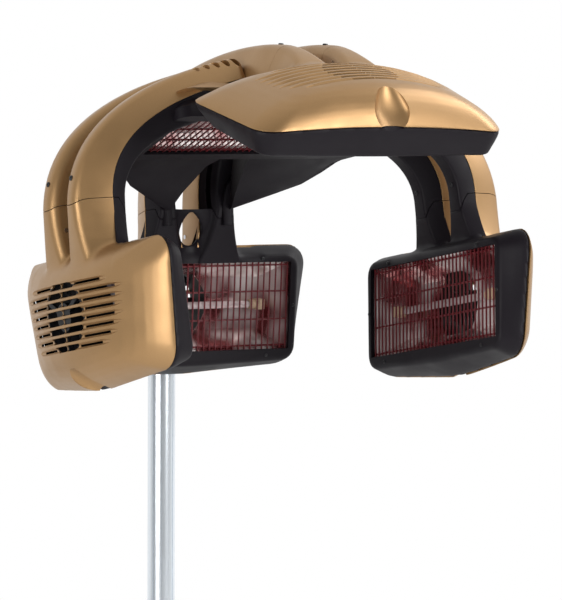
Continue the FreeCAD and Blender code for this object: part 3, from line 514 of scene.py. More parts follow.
def sound(result: bmesh.types.BMesh, part: float, tool: float, how: Cut) -> bool:
    """Whether a boolean's result is closed, with a volume that it can have.

    Args:
        result: the mesh after the boolean.
        part: volume of the first mesh before it.
        tool: volume of the tool.
        how: the boolean.

    Returns:
        False where the solver lost some of the part or left the tool out.
    """
    least = 0.02 * part
    low, high = {Cut.AWAY: (max(part - tool, least), part), Cut.KEEP: (least, min(part, tool)),
                 Cut.JOIN: (max(part, tool), part + tool)}[how]
    slack = 0.001 * part
    closed = all(edge.is_manifold for edge in result.edges)
    return closed and low - slack <= result.calc_volume(signed=True) <= high + slack


def carved(part: bmesh.types.BMesh, tool: bmesh.types.BMesh,
           how: Cut = Cut.AWAY) -> bmesh.types.BMesh:
    """A mesh after a boolean with a tool. Both are used up.

    The exact solver can lose a part that holds a sliver. So each result is measured, and an
    unsound one is made again with the other solver, or with the part's slivers merged.
    """
    volumes = part.calc_volume(signed=True), tool.calc_volume(signed=True)
    for solver, merge in CUT_ATTEMPTS:
        fresh = part.copy()
        if merge:
            bmesh.ops.remove_doubles(fresh, verts=fresh.verts[:], dist=merge)
            bmesh.ops.dissolve_degenerate(fresh, dist=merge / 2, edges=fresh.edges[:])
        result = solved(fresh, tool, how, solver)
        if sound(result, *volumes, how):
            break
        LOG.info("unsound after the %s solver, merged by %.2f mm", solver, merge)
    part.free()
    tool.free()
    return result


def rounded(corners: Sequence[Corner], steps: int = 7,
            straights: int = 0) -> list[tuple[float, float]]:
    """Points round a polygon whose corners are arcs.

    Args:
        corners: (x, z, radius) of each corner, in order.
        steps: spans of each arc.
        straights: further points on the straight stretch after each arc.

    Returns:
        (x, z) points, steps + 1 + straights for each corner.
    """
    arcs = []
    for i, (x, z, radius) in enumerate(corners):
        here = Vector((x, z))
        before = (Vector(corners[i - 1][:2]) - here).normalized()
        after = (Vector(corners[(i + 1) % len(corners)][:2]) - here).normalized()
        half = before.angle(after) / 2
        centre = here + (before + after).normalized() * radius / math.sin(half)
        start = here + before * radius / math.tan(half) - centre
        turn = math.copysign(math.pi - 2 * half, -before.cross(after))
        spins = [Matrix.Rotation(turn * k / steps, 2) for k in range(steps + 1)]
        arcs.append([centre + spin @ start for spin in spins])
    points = []
    for arc, following in zip(arcs, arcs[1:] + arcs[:1]):
        points += arc
        points += [arc[-1].lerp(following[0], k / (straights + 1)) for k in range(1, straights + 1)]
    return [(point.x, point.y) for point in points]


def bezier(poles: Sequence[Vector], t: float) -> Vector:
    """A point of a cubic Bezier curve."""
    a, b, c, d = poles
    u = 1 - t
    return a * u ** 3 + b * 3 * u * u * t + c * 3 * u * t * t + d * t ** 3


def shipped(name: str, part: bmesh.types.BMesh, place: Matrix, finish: Finish, body: str,
            stands_for: Sequence[str] = (), crease: float = 32.0) -> bpy.types.Object:
    """Makes a finished piece of a mesh, and parents it to its body's empty in the scene.

    Args:
        name: the piece's name.
        part: its mesh in millimetres, which is used up.
        place: from the mesh's frame to the row frame, in millimetres.
        finish: its surface finish.
        body: the CAD body that it rides on.
        stands_for: CAD nodes that it replaces.
        crease: edges sharper than this many degrees stay sharp.

    Returns:
        The piece.
    """
    moved(part, METRES @ place)
    mesh = bpy.data.meshes.new(name)
    part.to_mesh(mesh)
    part.free()
    mesh.shade_smooth()
    mesh.set_sharp_from_angle(angle=math.radians(crease))
    mesh.materials.append(finish.material())
    piece = bpy.data.objects.new(name, mesh)
    bpy.context.scene.collection.objects.link(piece)
    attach(piece, body)
    if stands_for:
        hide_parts(*stands_for)
    LOG.info("%s: %d faces, rides on %s", name, len(mesh.polygons), body)
    return piece


# ------------------------------------------------------------------ arms
@dataclass(frozen=True)
class LegSection:
    """Cross-section of one arm leg: pitches and widths at its outer, seam and inner curves."""
    pitch: tuple[float, float, float] = (64.0, 80.0, 87.0)
    width: tuple[float, float, float] = (28.0, 46.0, 24.0)
    outer_edge: float = 12.5
    inner_edge: float = 5.0
    line: float = 0.5

    def ring(self, near: Vector, far: Vector, part: int, flare: float = 0.0) -> Ring:
        """The +x leg's ring between two curve points.

        Args:
            near: (out, up) on the outer curve for a cover, on the seam curve for a liner.
            far: (out, up) on the seam curve for a cover, on the inner curve for a liner.
            part: 0 for the cover, 1 for the liner.
            flare: how much wider each side is.

        Returns:
            Points in the arm's frame.
        """
        depth = (far - near).length
        a, b = self.pitch[part] / 2, self.pitch[part + 1] / 2
        wa, wb = self.width[part] / 2 + flare, self.width[part + 1] / 2 + flare
        shy = self.line
        if part == 0:
            corners = [(a - wa, 0, self.outer_edge), (a + wa, 0, self.outer_edge),
                       (b + wb, depth - shy, 0.4), (b - wb, depth - shy, 0.4)]
        else:
            corners = [(a - wa + shy, 0, 0.4), (a + wa - shy, 0, 0.4),
                       (b + wb, depth, self.inner_edge), (b - wb, depth, self.inner_edge)]
        along = (far - near).normalized()
        spots = rounded(corners, 4)
        return [Vector((x, *(near + along * d))) for x, d in spots]


@dataclass
class Arm:
    """One arm: two legs with gold covers and charcoal liners, up to the knuckle's seam.

    Attributes:
        seam_rise: height of the knuckle's seam above its pin.
        notch_rise: height at which the seam leaves the liner's inner face.
        line: width of the gap at the seam.
        stations: rings along each leg.
        neck_rings: rings along its neck.
        flare: how much each leg widens to each side at its neck's end.
        root: how much longer a cover's neck is than a liner's, inside the head's back.
        web_half: half width of the rear arm's web.
        web_dish: how deep the web is dished.
        web_thick: its thickness.
        caps: for each cap screw, its curve, its place along it, and its radius.
        louvre_size: radii of one louvre's hollow.
        louvre_sink: how far its middle lies below the cover's outer curve.
        hole: radius of its hole.
        hole_up: height of its hole.
    """
    form: ArmForm
    seam_rise: float = 31.0
    notch_rise: float = 7.0
    line: float = 0.9
    stations: int = 26
    neck_rings: int = 8
    flare: float = 20.0
    root: float = 25.0
    web_half: float = 40.0
    web_dish: float = 11.0
    web_thick: float = 5.0
    caps: tuple[tuple[int, float, float], ...] = ((0, 0.11, 3.4), (2, 0.09, 3.0))
    louvre_count: int = 5
    louvre_pitch: float = 14.2
    louvre_size: Corner = (10.0, 4.2, 11.0)
    louvre_sink: float = 4.0
    hole: float = 16.0
    hole_up: float = -117.0
    legs: LegSection = field(default_factory=LegSection)

    def leg(self, part: int, grow: float = 0.0) -> bmesh.types.BMesh:
        """The whole +x leg from below its head's surface to the hub.

        Args:
            part: 0 for the cover, 1 for the liner.
            grow: how far its sides are moved outwards.

        Returns:
            The leg's mesh in the arm's frame.
        """
        near, far = self.form.curve(part), self.form.curve(part + 1)
        rings = []
        for k in range(self.neck_rings, 0, -1):
            share = k / self.neck_rings
            rings.append(self.legs.ring(near[0] + self.slip(share, part, 0),
                                        far[0] + self.slip(share, part, 1), part,
                                        self.flare * share ** 1.8 + grow))
        for k in range(self.stations + 1):
            t = k / self.stations
            rings.append(self.legs.ring(bezier(near, t), bezier(far, t), part, grow))
        if self.form.nose and part == 0:
            rings += self.nose_rings(rings[-1])
        return swept(rings)

    def nose_rings(self, last: Ring) -> list[Ring]:
        """Rings that round off a cover's hub end beyond its last ring."""
        middle = sum(last, Vector()) / len(last)
        rings = []
        for k in range(1, 7):
            angle = math.radians(88) * k / 6
            ahead = Vector((0, -self.form.nose * math.sin(angle), 0))
            rings.append([middle + (point - middle) * math.cos(angle) ** 0.8 + ahead
                          for point in last])
        return rings

    def slip(self, share: float, part: int, curve: int) -> Vector:
        """How far a point of the neck lies from the arm's root.

        Args:
            share: where it lies along the neck, 1 at its end.
            part: 0 for the cover, 1 for the liner.
            curve: 0 for the part's outer curve, 1 for its inner one.

        Returns:
            The offset (out, up).
        """
        inwards = -self.form.kick * share ** 1.3 if part else 0.0
        inwards += self.form.dive * share ** 2 * (1.0, 0.3, 0.0)[part + curve]
        length = self.form.neck + (0 if part else self.root)
        return self.form.hubward * (-length * share) + self.form.inward * inwards

    def head_side(self, grow: float = 0.0) -> bmesh.types.BMesh:
        """All that lies on the head's side of the knuckle's seam, as a cutting block.

        Args:
            grow: how far the seam is pushed towards the hub.

        Returns:
            The block's mesh in the arm's frame.
        """
        inward, hubward = self.form.inward, self.form.hubward
        rise = self.seam_rise + grow
        knuckle = self.form.cover[0] + self.form.liner[0] - self.form.pin_inset - 1 + grow
        far = 700.0

        def spot(across: float, along: float) -> Vector:
            """(out, up) of a point given from the pin."""
            return self.form.pin + inward * across + hubward * along

        outer = [math.radians(angle) for angle in (54, 44, 34, 24, 14, 0)]
        outline = [spot(-60, rise * math.cos(outer[0]))]
        outline += [spot(-rise * math.sin(angle), rise * math.cos(angle)) for angle in outer]
        high, low = math.asin(rise / knuckle), math.asin((self.notch_rise + grow) / knuckle)
        for k in range(9):
            angle = high + (low - high) * k / 8
            outline.append(spot(knuckle * math.cos(angle), knuckle * math.sin(angle)))
        outline += [spot(knuckle + 12, self.notch_rise + grow), spot(far, self.notch_rise + grow),
                    spot(far, -far), spot(-far, -far), spot(-far, rise * math.cos(outer[0]))]
        low_ring = [Vector((-400, *p)) for p in outline]
        high_ring = [Vector((400, *p)) for p in outline]
        return swept([low_ring, high_ring])

    def web(self) -> bmesh.types.BMesh:
        """The dished plate between the two liner legs, pierced by a teardrop hole."""
        seam, inner = self.form.curve(1), self.form.curve(2)
        slips = [self.slip(k / self.neck_rings, 1, 1) for k in range(self.neck_rings, 0, -1)]
        spots = [(inner[0] + slip, seam[0] + slip) for slip in slips]
        spots += [(bezier(inner, t), bezier(seam, t)) for t in (0.08 * k for k in range(11))]
        rings = []
        for near, far in spots:
            outward = (far - near).normalized()
            across = [self.web_half * (j / 5 - 1) for j in range(11)]
            dish = [self.web_dish * (1 - (x / self.web_half) ** 2) for x in across]
            front = [(x, near + outward * (3 + deep)) for x, deep in zip(across, dish)]
            back = [(x, point + outward * self.web_thick) for x, point in reversed(front)]
            rings.append([Vector((x, *point)) for x, point in front + back])
        hole = rod(Vector((0, -40, 0)), Vector((0, 60, 0)), self.hole, 32)
        for vert in hole.verts:
            point = max(0.0, vert.co.z / self.hole)
            vert.co.z += 9 * point
            vert.co.x *= 1 - 0.45 * point ** 2
        place = Matrix.Translation((0, inner[0].x, self.hole_up))
        return carved(swept(rings), moved(hole, place))

    def louvres(self) -> bmesh.types.BMesh:
        """Slanted oval hollows along the outer edge of a side arm's leg, as a cutting tool."""
        tools = []
        slant = (Matrix.Rotation(math.radians(-24), 4, "X")
                 @ Matrix.Rotation(math.radians(35), 4, "Y"))
        tip_out, tip_up = self.form.poles[-1]
        for k in range(self.louvre_count):
            bm = bmesh.new()
            bmesh.ops.create_icosphere(bm, subdivisions=3, radius=1)
            bmesh.ops.scale(bm, vec=self.louvre_size, verts=bm.verts)
            out = tip_out - 1 + self.louvre_pitch * k
            up = tip_up - 0.0016 * (out - tip_out) ** 2 - self.louvre_sink
            edge = (self.legs.pitch[0] + self.legs.width[0]) / 2
            tools.append(moved(bm, Matrix.Translation((edge, out, up)) @ slant))
        return joined(tools)

    def cap_screws(self) -> bmesh.types.BMesh:
        """One screw in each leg's cover and one in its liner, just above the knuckle."""
        seats = []
        for curve, t, radius in self.caps:
            poles = self.form.curve(curve)
            across = bezier(self.form.curve(2), t) - bezier(self.form.curve(0), t)
            out = Vector((0, *(across.normalized() * (-1 if curve == 0 else 1))))
            middle = self.legs.pitch[curve] / 2
            seats += [(Vector((x, *bezier(poles, t))), out, radius) for x in (-middle, middle)]
        return joined([screw(seat, out, radius) for seat, out, radius in seats])

    def above(self, part: int) -> bmesh.types.BMesh:
        """Both legs' arm side of a cover (0) or liner (1)."""
        leg = self.leg(part)
        if self.form.nose and part == 0:
            leg = carved(leg, self.louvres())
        legs = mirrored_pair(leg)
        if self.form is REAR_ARM and part == 1:
            legs = carved(legs, self.web(), Cut.JOIN)
        return carved(legs, self.head_side(self.line))

ARMS = {kind: Arm(kind) for kind in (SIDE_ARM, REAR_ARM, FRONT_ARM)}


# ------------------------------------------------------------------ lamp heads
@dataclass
class HeadForm:
    """Outlines and depths of a lamp head, in its own frame (face at depth 0).

    Attributes:
        seam: depth of the seam between bezel and shell.
        rise: height of the arched back over the seam.
        dip: how much deeper the seam lies at the middle of the bottom edge.
    """
    guard_width: float = 308.0
    guard_height: float = 117.4
    margin_side: float = 9.0
    margin_top: float = 9.0
    margin_bottom: float = 19.0
    face_corner: float = 18.0
    seam: float = 31.0
    half_top: float = 195.0
    half_bottom: float = 172.0
    top: float = 79.0
    low: float = 82.0
    bow: float = 14.0
    corner: float = 26.0
    low_corner: float = 34.0
    rise: float = 59.0
    dip: float = 12.0
    wall: float = 4.2

    @property
    def back(self) -> float:
        """Depth of the back's highest point."""
        return self.seam + self.rise

    @property
    def middle(self) -> float:
        """Height of the middle of the seam's outline."""
        return (self.top - self.low - self.bow) / 2

    def outline(self, grow: float, face: bool = False) -> list[tuple[float, float]]:
        """Points round the head at its seam, or round its face.

        Args:
            grow: how far the outline is moved outwards.
            face: the face's outline instead of the seam's.

        Returns:
            (x, z) points, as many for both outlines.
        """
        if face:
            high = wide = self.guard_width / 2 + self.margin_side
            top, bow = self.guard_height / 2 + self.margin_top, self.bow / 3
            low = self.guard_height / 2 + self.margin_bottom - bow
            corner = low_corner = self.face_corner
        else:
            high, wide, top, low, bow = (self.half_top, self.half_bottom, self.top, self.low,
                                         self.bow)
            corner, low_corner = self.corner, self.low_corner
        corner, low_corner = corner + grow / 2, low_corner + grow / 2
        broad = (wide + grow) ** 2 / (2 * bow) / 3
        return rounded([(-high - grow, top + grow, corner), (high + grow, top + grow, corner),
                        (wide + grow, -low - grow, low_corner), (0, -low - bow - grow, broad),
                        (-wide - grow, -low - grow, low_corner)], 7, 9)

    def arch(self, x: float, z: float) -> float:
        """Rise of the back over the seam: arched along the head, flatter across it."""
        share = (z + self.low) / (self.top + self.low)
        half = self.half_bottom + (self.half_top - self.half_bottom) * share
        along = min(1.0, abs(x) / half)
        across = min(1.0, abs(z - self.middle) / (self.top - self.middle))
        return self.rise * (1 - along ** 2) ** 0.75 * (1 - across ** 4) ** 0.5

    def dome(self, grow: float = 0.0, start: float = 0.0) -> bmesh.types.BMesh:
        """The back shell's solid, from start before the seam to its back."""
        edge = self.outline(grow)
        rings = [[Vector((x, self.seam - start, z)) for x, z in edge]] if start else []
        for share in (1, 0.99, 0.97, 0.94, 0.9, 0.84, 0.76, 0.66, 0.54, 0.4, 0.25, 0.1):
            ring = []
            for x, z in edge:
                here = (x * share, self.middle + (z - self.middle) * share)
                lift = self.arch(*here) - self.arch(x, z) * share ** 6
                ring.append(Vector((here[0], self.seam + lift * (1 + grow / self.rise), here[1])))
            rings.append(ring)
        return swept(rings)

    def plate(self, grow: float = 0.0, start: float = 0.0) -> bmesh.types.BMesh:
        """The bezel's solid: flat face, soft edge, swelling out to the seam."""
        face, seam = self.outline(grow, face=True), self.outline(grow)
        rings = [[Vector((x, start, z)) for x, z in face]]
        for share, run in ((0.04, 0.05), (0.12, 0.13), (0.3, 0.34), (0.5, 0.58), (0.75, 0.84),
                           (1, 1)):
            depth = start + (self.seam - start) * share
            rings.append([Vector((a + (c - a) * run, depth, b + (d - b) * run))
                          for (a, b), (c, d) in zip(face, seam)])
        return swept(rings)

    def settle(self, part: bmesh.types.BMesh) -> bmesh.types.BMesh:
        """Lets the seam run deeper towards the middle of the bottom edge."""
        for vert in part.verts:
            x, y, z = vert.co
            low = min(1.0, max(0.0, (20 - z) / 110))
            sag = self.dip * low ** 2 * max(0.0, 1 - (x / 175) ** 2)
            run = y / self.seam if y < self.seam else 1 - (y - self.seam) / self.rise
            vert.co.y += sag * min(1.0, max(0.0, run))
        return part


@dataclass
class Vents:
    """The back shell's slots: eight rows that cross a round fan window.

    Attributes:
        reaches: half lengths of the rows' slots, bottom row first.
    """
    form: HeadForm
    pitch: float = 11.0
    slot: float = 3.0
    window: float = 7.4
    reaches: tuple[float, ...] = (79, 96, 103, 107, 109, 112, 113, 87)
    fade: float = 20.0
    groove: float = 9.6
    groove_depth: float = 3.0
    radius: float = 47.0
    ring: float = 5.5
    rib: float = 0.8

    def level(self, row: int) -> float:
        """Height of a row's middle."""
        return (row - (len(self.reaches) - 1) / 2) * self.pitch

    def grooves(self) -> bmesh.types.BMesh:
        """Long shallow valleys, pointed at both ends, one for each row."""
        tools = []
        top = self.form.back + 8
        for row, reach in enumerate(self.reaches):
            z = self.level(row)
            rings = []
            for share in (-1, -0.93, -0.86, -0.6, -0.3, 0, 0.3, 0.6, 0.86, 0.93, 1):
                x = share * (reach + self.fade)
                fullness = min(1.0, (1 - abs(share)) / 0.16)
                skin = self.form.seam + self.form.arch(x, z)
                floor = skin + 0.3 - (self.groove_depth + 0.3) * fullness
                wide = 0.3 + (self.groove / 2 - 0.3) * fullness ** 0.7
                high = min(wide + 1, self.pitch / 2 - 0.2)
                rings.append([Vector((x, top, z - high)), Vector((x, top, z + high)),
                              Vector((x, skin + 1, z + wide)), Vector((x, floor, z + wide * 0.35)),
                              Vector((x, floor, z - wide * 0.35)), Vector((x, skin + 1, z - wide))])
            tools.append(swept(rings))
        return joined(tools)

    def openings(self) -> bmesh.types.BMesh:
        """Slots beside the fan window, and the window's own, right through the shell."""
        low, high = self.form.seam + 14, self.form.back + 10
        tools = []
        for row, reach in enumerate(self.reaches):
            z = self.level(row)
            for sign in (-1, 1):
                start = math.sqrt(max(0.0, self.radius ** 2 - z * z)) + self.ring
                ends = sorted((sign * start, sign * reach))
                tools.append(box((ends[0], low, z - self.slot / 2),
                                 (ends[1], high, z + self.slot / 2)))
                half = self.window / 2
                shape = [(sign * self.rib, z - half)]
                for k in range(7):
                    at = z - half + self.window * k / 6
                    edge = math.sqrt(max(1.0, self.radius ** 2 - at * at))
                    shape.append((sign * max(edge, 3.0), at))
                shape.append((sign * self.rib, z + half))
                tools.append(swept([[Vector((x, y, v)) for x, v in shape] for y in (low, high)]))
        return joined(tools)


@dataclass
class Head:
    """One lamp head: gold shell, bezel, guard, lamp, screws, on its neck."""
    side: Side
    form: HeadForm = field(default_factory=HeadForm)
    voxel: float = 2.6
    sleeve: float = 0.35
    scoop: tuple[float, float, float] = (25.0, 47.0, 13.5)

    @property
    def arm(self) -> Arm:
        """The arm that carries this head."""
        return ARMS[ARM_OF[self.side]]

    def neck(self, part: int) -> bmesh.types.BMesh:
        """Both whole legs of the arm's cover (0) or liner (1), in the head's frame."""
        legs = mirrored_pair(self.arm.leg(part))
        if self.side is Side.REAR and part == 1:
            legs = joined([legs, self.arm.web()])
        return moved(legs, LAYOUT.arm_in_head(self.side))

    def keep_neck(self, grow: float = 0.0) -> bmesh.types.BMesh:
        """The knuckle's cutting block in the head's frame."""
        return moved(self.arm.head_side(grow), LAYOUT.arm_in_head(self.side))

    def blended(self, body: bmesh.types.BMesh, part: int) -> bmesh.types.BMesh:
        """A body and the legs of its cover (0) or liner (1), with soft fillets where they meet."""
        whole = evaluated(joined([body, self.neck(part)]), "REMESH", mode="VOXEL",
                          voxel_size=self.voxel)
        top = self.form.top
        for rise, passes in ((8, 22), (20, 8), (34, 3)):
            near = [v for v in whole.verts if top - 34 < v.co.z < top + rise and abs(v.co.x) < 112]
            for _ in range(passes):
                bmesh.ops.smooth_vert(whole, verts=near, factor=0.5, use_axis_x=True,
                                      use_axis_y=True, use_axis_z=True)
        for _ in range(2):
            bmesh.ops.smooth_vert(whole, verts=whole.verts[:], factor=0.5, use_axis_x=True,
                                  use_axis_y=True, use_axis_z=True)
        for crisp in (self.arm.leg(part, self.sleeve), mirrored(self.arm.leg(part, self.sleeve))):
            whole = carved(whole, moved(crisp, LAYOUT.arm_in_head(self.side)), Cut.JOIN)
        return whole

    def finger_scoop(self, grow: float = 0.0) -> bmesh.types.BMesh:
        """The teardrop hollow at the middle of the bottom edge, as a cutting tool."""
        bm = bmesh.new()
        bmesh.ops.create_icosphere(bm, subdivisions=4, radius=1)
        wide, long, deep = (r + grow for r in self.scoop)
        bmesh.ops.scale(bm, vec=(wide, long, deep), verts=bm.verts)
        for vert in bm.verts:
            taper = 1 - 0.35 * max(0.0, vert.co.y / long)
            vert.co.x *= taper
        low = self.form.low + self.form.bow
        tilt = Matrix.Rotation(math.radians(30), 4, "X")
        return moved(bm, Matrix.Translation((0, self.form.seam + 26, 8 - low)) @ tilt)

    def shell(self) -> bmesh.types.BMesh:
        """The gold shell with its neck legs, hollow, slotted and scooped."""
        form = self.form
        shell = self.blended(form.dome(start=12), 0)
        shell = carved(shell, self.keep_neck(), Cut.KEEP)
        shell = carved(shell, box((-400, -400, -400), (400, form.seam + 0.25, form.top + 1)))
        hollow = carved(form.dome(-form.wall, start=20), self.finger_scoop(form.wall))
        shell = carved(shell, hollow)
        shell = carved(shell, self.finger_scoop())
        vents = Vents(form)
        shell = carved(shell, vents.grooves())
        return form.settle(carved(shell, vents.openings()))

    def bezel(self) -> bmesh.types.BMesh:
        """The charcoal bezel with its neck legs, framing the guard."""
        form = self.form
        bezel = self.blended(form.plate(), 1)
        bezel = carved(bezel, self.keep_neck(), Cut.KEEP)
        bezel = carved(bezel, form.dome(start=0.0))
        hollow = carved(form.plate(-form.wall, start=form.wall), self.finger_scoop(form.wall))
        bezel = carved(bezel, hollow)
        bezel = carved(bezel, self.finger_scoop())
        half_w, half_h = form.guard_width / 2, form.guard_height / 2
        bezel = carved(bezel, box((-half_w, -30, -half_h), (half_w, form.wall + 3, half_h)))
        return form.settle(bezel)

    def build(self) -> None:
        """Makes and dresses every piece of the head."""
        place, body, name = LAYOUT.head(self.side), self.side.head_body, self.side.value
        shipped(name + "_back_shell", self.shell(), place, GOLD, body, [name + "_shell"])
        shipped(name + "_face_bezel", self.bezel(), place, CHARCOAL, body, [name + "_bezel"])
        heater = Heater(self.form)
        shipped(name + "_wire_guard", heater.guard(), place, ENAMEL, body, [name + "_guard"])
        shipped(name + "_lamp_tube", heater.tube(), place, QUARTZ, body, [name + "_lamp"])
        shipped(name + "_lamp_coil", heater.coil(), place, FILAMENT, body)
        shipped(name + "_lamp_holders", heater.holders(), place, CERAMIC, body)
        shipped(name + "_frame_screws", heater.screws(), place, STEEL, body)


@dataclass
class Heater:
    """What shows in a head's face: guard, lamp, holders and frame screws."""
    form: HeadForm
    wire: float = 1.15
    cross: float = 1.3
    pitch: float = 8.9
    level: float = 22.0
    lamp: float = 254.0
    tube_radius: float = 5.0
    holder: float = 22.0

    def guard(self) -> bmesh.types.BMesh:
        """Upright wires on four cross rods, with their ends behind the face plate."""
        depth = self.form.wall + self.wire + 0.1
        half_w, half_h = self.form.guard_width / 2 + 2.6, self.form.guard_height / 2 + 2.6
        bars = []
        count = int(self.form.guard_width // self.pitch)
        for i in range(count + 1):
            x = (i - count / 2) * self.pitch
            bars.append(rod(Vector((x, depth, -half_h)), Vector((x, depth, half_h)), self.wire, 8))
        for share in (-0.92, -0.32, 0.32, 0.92):
            z = share * self.form.guard_height / 2
            behind = depth + self.wire + self.cross * 0.8
            bars.append(rod(Vector((-half_w, behind, z)), Vector((half_w, behind, z)), self.cross,
                            8))
        return joined(bars)

    def tube(self) -> bmesh.types.BMesh:
        """The quartz tube, pinched flat at its ends inside the holders."""
        half = self.lamp / 2 - self.holder + 4
        rings = []
        for x, r in ((-half, 0.6), (-half + 4, 0.8), (-half + 9, 1), (half - 9, 1), (half - 4, 0.8),
                     (half, 0.6)):
            radius = self.tube_radius * r
            rings.append([Vector((x, self.level + radius * math.cos(a), radius * math.sin(a)))
                          for a in (math.tau * k / 20 for k in range(20))])
        return swept(rings)

    def coil(self) -> bmesh.types.BMesh:
        """The coiled filament, with its support discs."""
        half = self.lamp / 2 - self.holder
        parts = [rod(Vector((-half, self.level, 0)), Vector((half, self.level, 0)), 1.1, 10)]
        for k in range(-5, 6):
            x = k * half / 6
            parts.append(rod(Vector((x - 0.4, self.level, 0)), Vector((x + 0.4, self.level, 0)),
                             3.4, 16))
        return joined(parts)

    def holders(self) -> bmesh.types.BMesh:
        """Ceramic holders: a square block with a round collar at each end of the lamp."""
        inner = self.lamp / 2 - self.holder
        parts = []
        for sign in (-1, 1):
            a, b = sorted((sign * (inner + 5), sign * (inner + 19)))
            parts.append(box((a, self.level - 7, -7), (b, self.level + 7, 7), 1.2))
            parts.append(rod(Vector((sign * (inner - 3), self.level, 0)),
                             Vector((sign * (inner + 8), self.level, 0)), 6.6, 24, 1))
        return joined(parts)

    def screws(self) -> bmesh.types.BMesh:
        """Small cross-headed screws in the frame."""
        half_w, half_h = self.form.guard_width / 2, self.form.guard_height / 2
        spots = [(-110, half_h + 4.6), (110, half_h + 4.6), (-half_w - 4.6, 0), (half_w + 4.6, 0),
                 (-120, -half_h - 8), (120, -half_h - 8)]
        return joined([screw(Vector((x, 0, z)), Vector((0, -1, 0)), 2.3) for x, z in spots])


def screw(seat: Vector, out: Vector, radius: float) -> bmesh.types.BMesh:
    """A pan-headed screw with a cross recess.

    Args:
        seat: middle of the face that it sits on.
        out: direction that its head faces.
        radius: radius of its head.

    Returns:
        The screw's mesh.
    """
    head = rod(Vector((0, 0, -radius * 0.5)), Vector((0, 0, radius * 0.45)), radius, 20,
               radius * 0.3)
    arm, deep = radius * 0.16, radius * 0.1
    cross = [box((-radius * 0.6, -arm, deep), (radius * 0.6, arm, radius)),
             box((-arm, -radius * 0.6, deep), (arm, radius * 0.6, radius))]
    for slot in cross:
        head = carved(head, slot)
    turn = Vector((0, 0, 1)).rotation_difference(out).to_matrix().to_4x4()
    return moved(head, Matrix.Translation(seat) @ turn)


@dataclass
class HoodArms:
    """The four arms above their knuckles."""

    def build(self) -> None:
        """Makes and dresses every arm."""
        for side in Side:
            arm = ARMS[ARM_OF[side]]
            place = LAYOUT.arm(side)
            shipped(side.value + "_arm_covers", arm.above(0), place, GOLD, "hood",
                    [side.value + "_arm_cover"])
            shipped(side.value + "_arm_liners", arm.above(1), place, CHARCOAL, "hood",
                    [side.value + "_arm_liner"])
            shipped(side.value + "_cap_screws", arm.cap_screws(), place, STEEL, "hood")


@dataclass
class Hub:
    """The charcoal hub: frame of the crown heater, dished corners, and ribs up from the legs.

    Attributes:
        rim: (x, y, z) points along a corner's lower rim, in the hood's frame.
        rib: (x, y, z) points up a rear leg's inner edge and along the corner.
        frame: (half width, half length, depth) of the crown frame's rings.
        clear: half width and half length that the corners leave free for the crown.
    """
    rim: tuple[Corner, ...] = ((47, 203, -92), (66, 192, -86), (97, 170, -76), (127, 149, -66),
                               (148, 130, -53), (161, 111, -42), (175, 86, -34), (184, 66, -30))
    rib: tuple[Corner, ...] = ((43, 204, -112), (43, 203, -84), (47, 199, -62), (58, 190, -46),
                               (78, 174, -38), (106, 148, -35), (134, 116, -33), (152, 88, -30))
    frame: tuple[Corner, ...] = ((168, 77.7, 0), (168, 78, 14), (160, 74, 22), (126, 56, 36))
    clear: tuple[float, float] = (166.0, 74.0)
    wall: float = 4.2
    edge: float = 18.0
    rib_wide: float = 11.0
    rib_deep: float = 16.0

    def corner(self) -> bmesh.types.BMesh:
        """The +x corner, from its rim in to the crown's frame."""
        rings = []
        for x, y, z in self.rim:
            inner = min(self.clear[0] / x, self.clear[1] / y)
            spots = ((1, z), (1, z + 5), (0.97, z + 16), (0.67, -4), (0, 4), (0, -34),
                     (0.37, -42 + (z + 66) * 0.1), (0.75, z + (-46 - z) * 0.42), (0.93, z + 2))
            rings.append([Vector((x, y, 0)) * (inner + (1 - inner) * share) + Vector((0, 0, up))
                          for share, up in spots])
        return swept(rings)

    def leg_rib(self) -> bmesh.types.BMesh:
        """The rib that runs up the +x rear leg's inner edge and turns out along the corner."""
        spots = [Vector(point) for point in self.rib]
        rings = []
        for i, spot in enumerate(spots):
            along = (spots[min(i + 1, len(spots) - 1)] - spots[max(i - 1, 0)]).normalized()
            outward = Vector((spot.x, spot.y, 0)).normalized()
            outward = (outward - along * outward.dot(along)).normalized()
            aside = along.cross(outward)
            half = self.rib_wide / 2
            section = rounded([(-half, 0, 2.5), (half, 0, 2.5), (half, self.rib_deep, 1),
                               (-half, self.rib_deep, 1)], 3)
            rings.append([spot + aside * a + outward * d for a, d in section])
        return swept(rings)

    def crown_frame(self) -> bmesh.types.BMesh:
        """The hollow frame round the crown heater's opening, in the crown's frame."""
        def ring(wide: float, long: float, depth: float) -> Ring:
            """A rounded rectangle across the frame at one depth."""
            corners = [(-wide, long, self.edge), (wide, long, self.edge), (wide, -long, self.edge),
                       (-wide, -long, self.edge)]
            return [Vector((x, depth, z)) for x, z in rounded(corners)]

        outside = swept([ring(*size) for size in self.frame])
        inside = swept([ring(wide - self.wall, long - self.wall, depth + (0 if i else self.wall))
                        for i, (wide, long, depth) in enumerate(self.frame)])
        form = HeadForm()
        half_w, half_h = form.guard_width / 2, form.guard_height / 2
        return carved(carved(outside, inside),
                      box((-half_w, -30, -half_h), (half_w, self.wall + 3, half_h)))

    def build(self) -> None:
        """Makes and dresses the hub."""
        crown = moved(self.crown_frame(), LAYOUT.hood().inverted() @ LAYOUT.crown())
        parts = [crown, mirrored_pair(self.corner()), mirrored_pair(self.leg_rib())]
        shipped("hub_skirt", joined(parts), LAYOUT.hood(), CHARCOAL, "hood", ["hub_liner"])


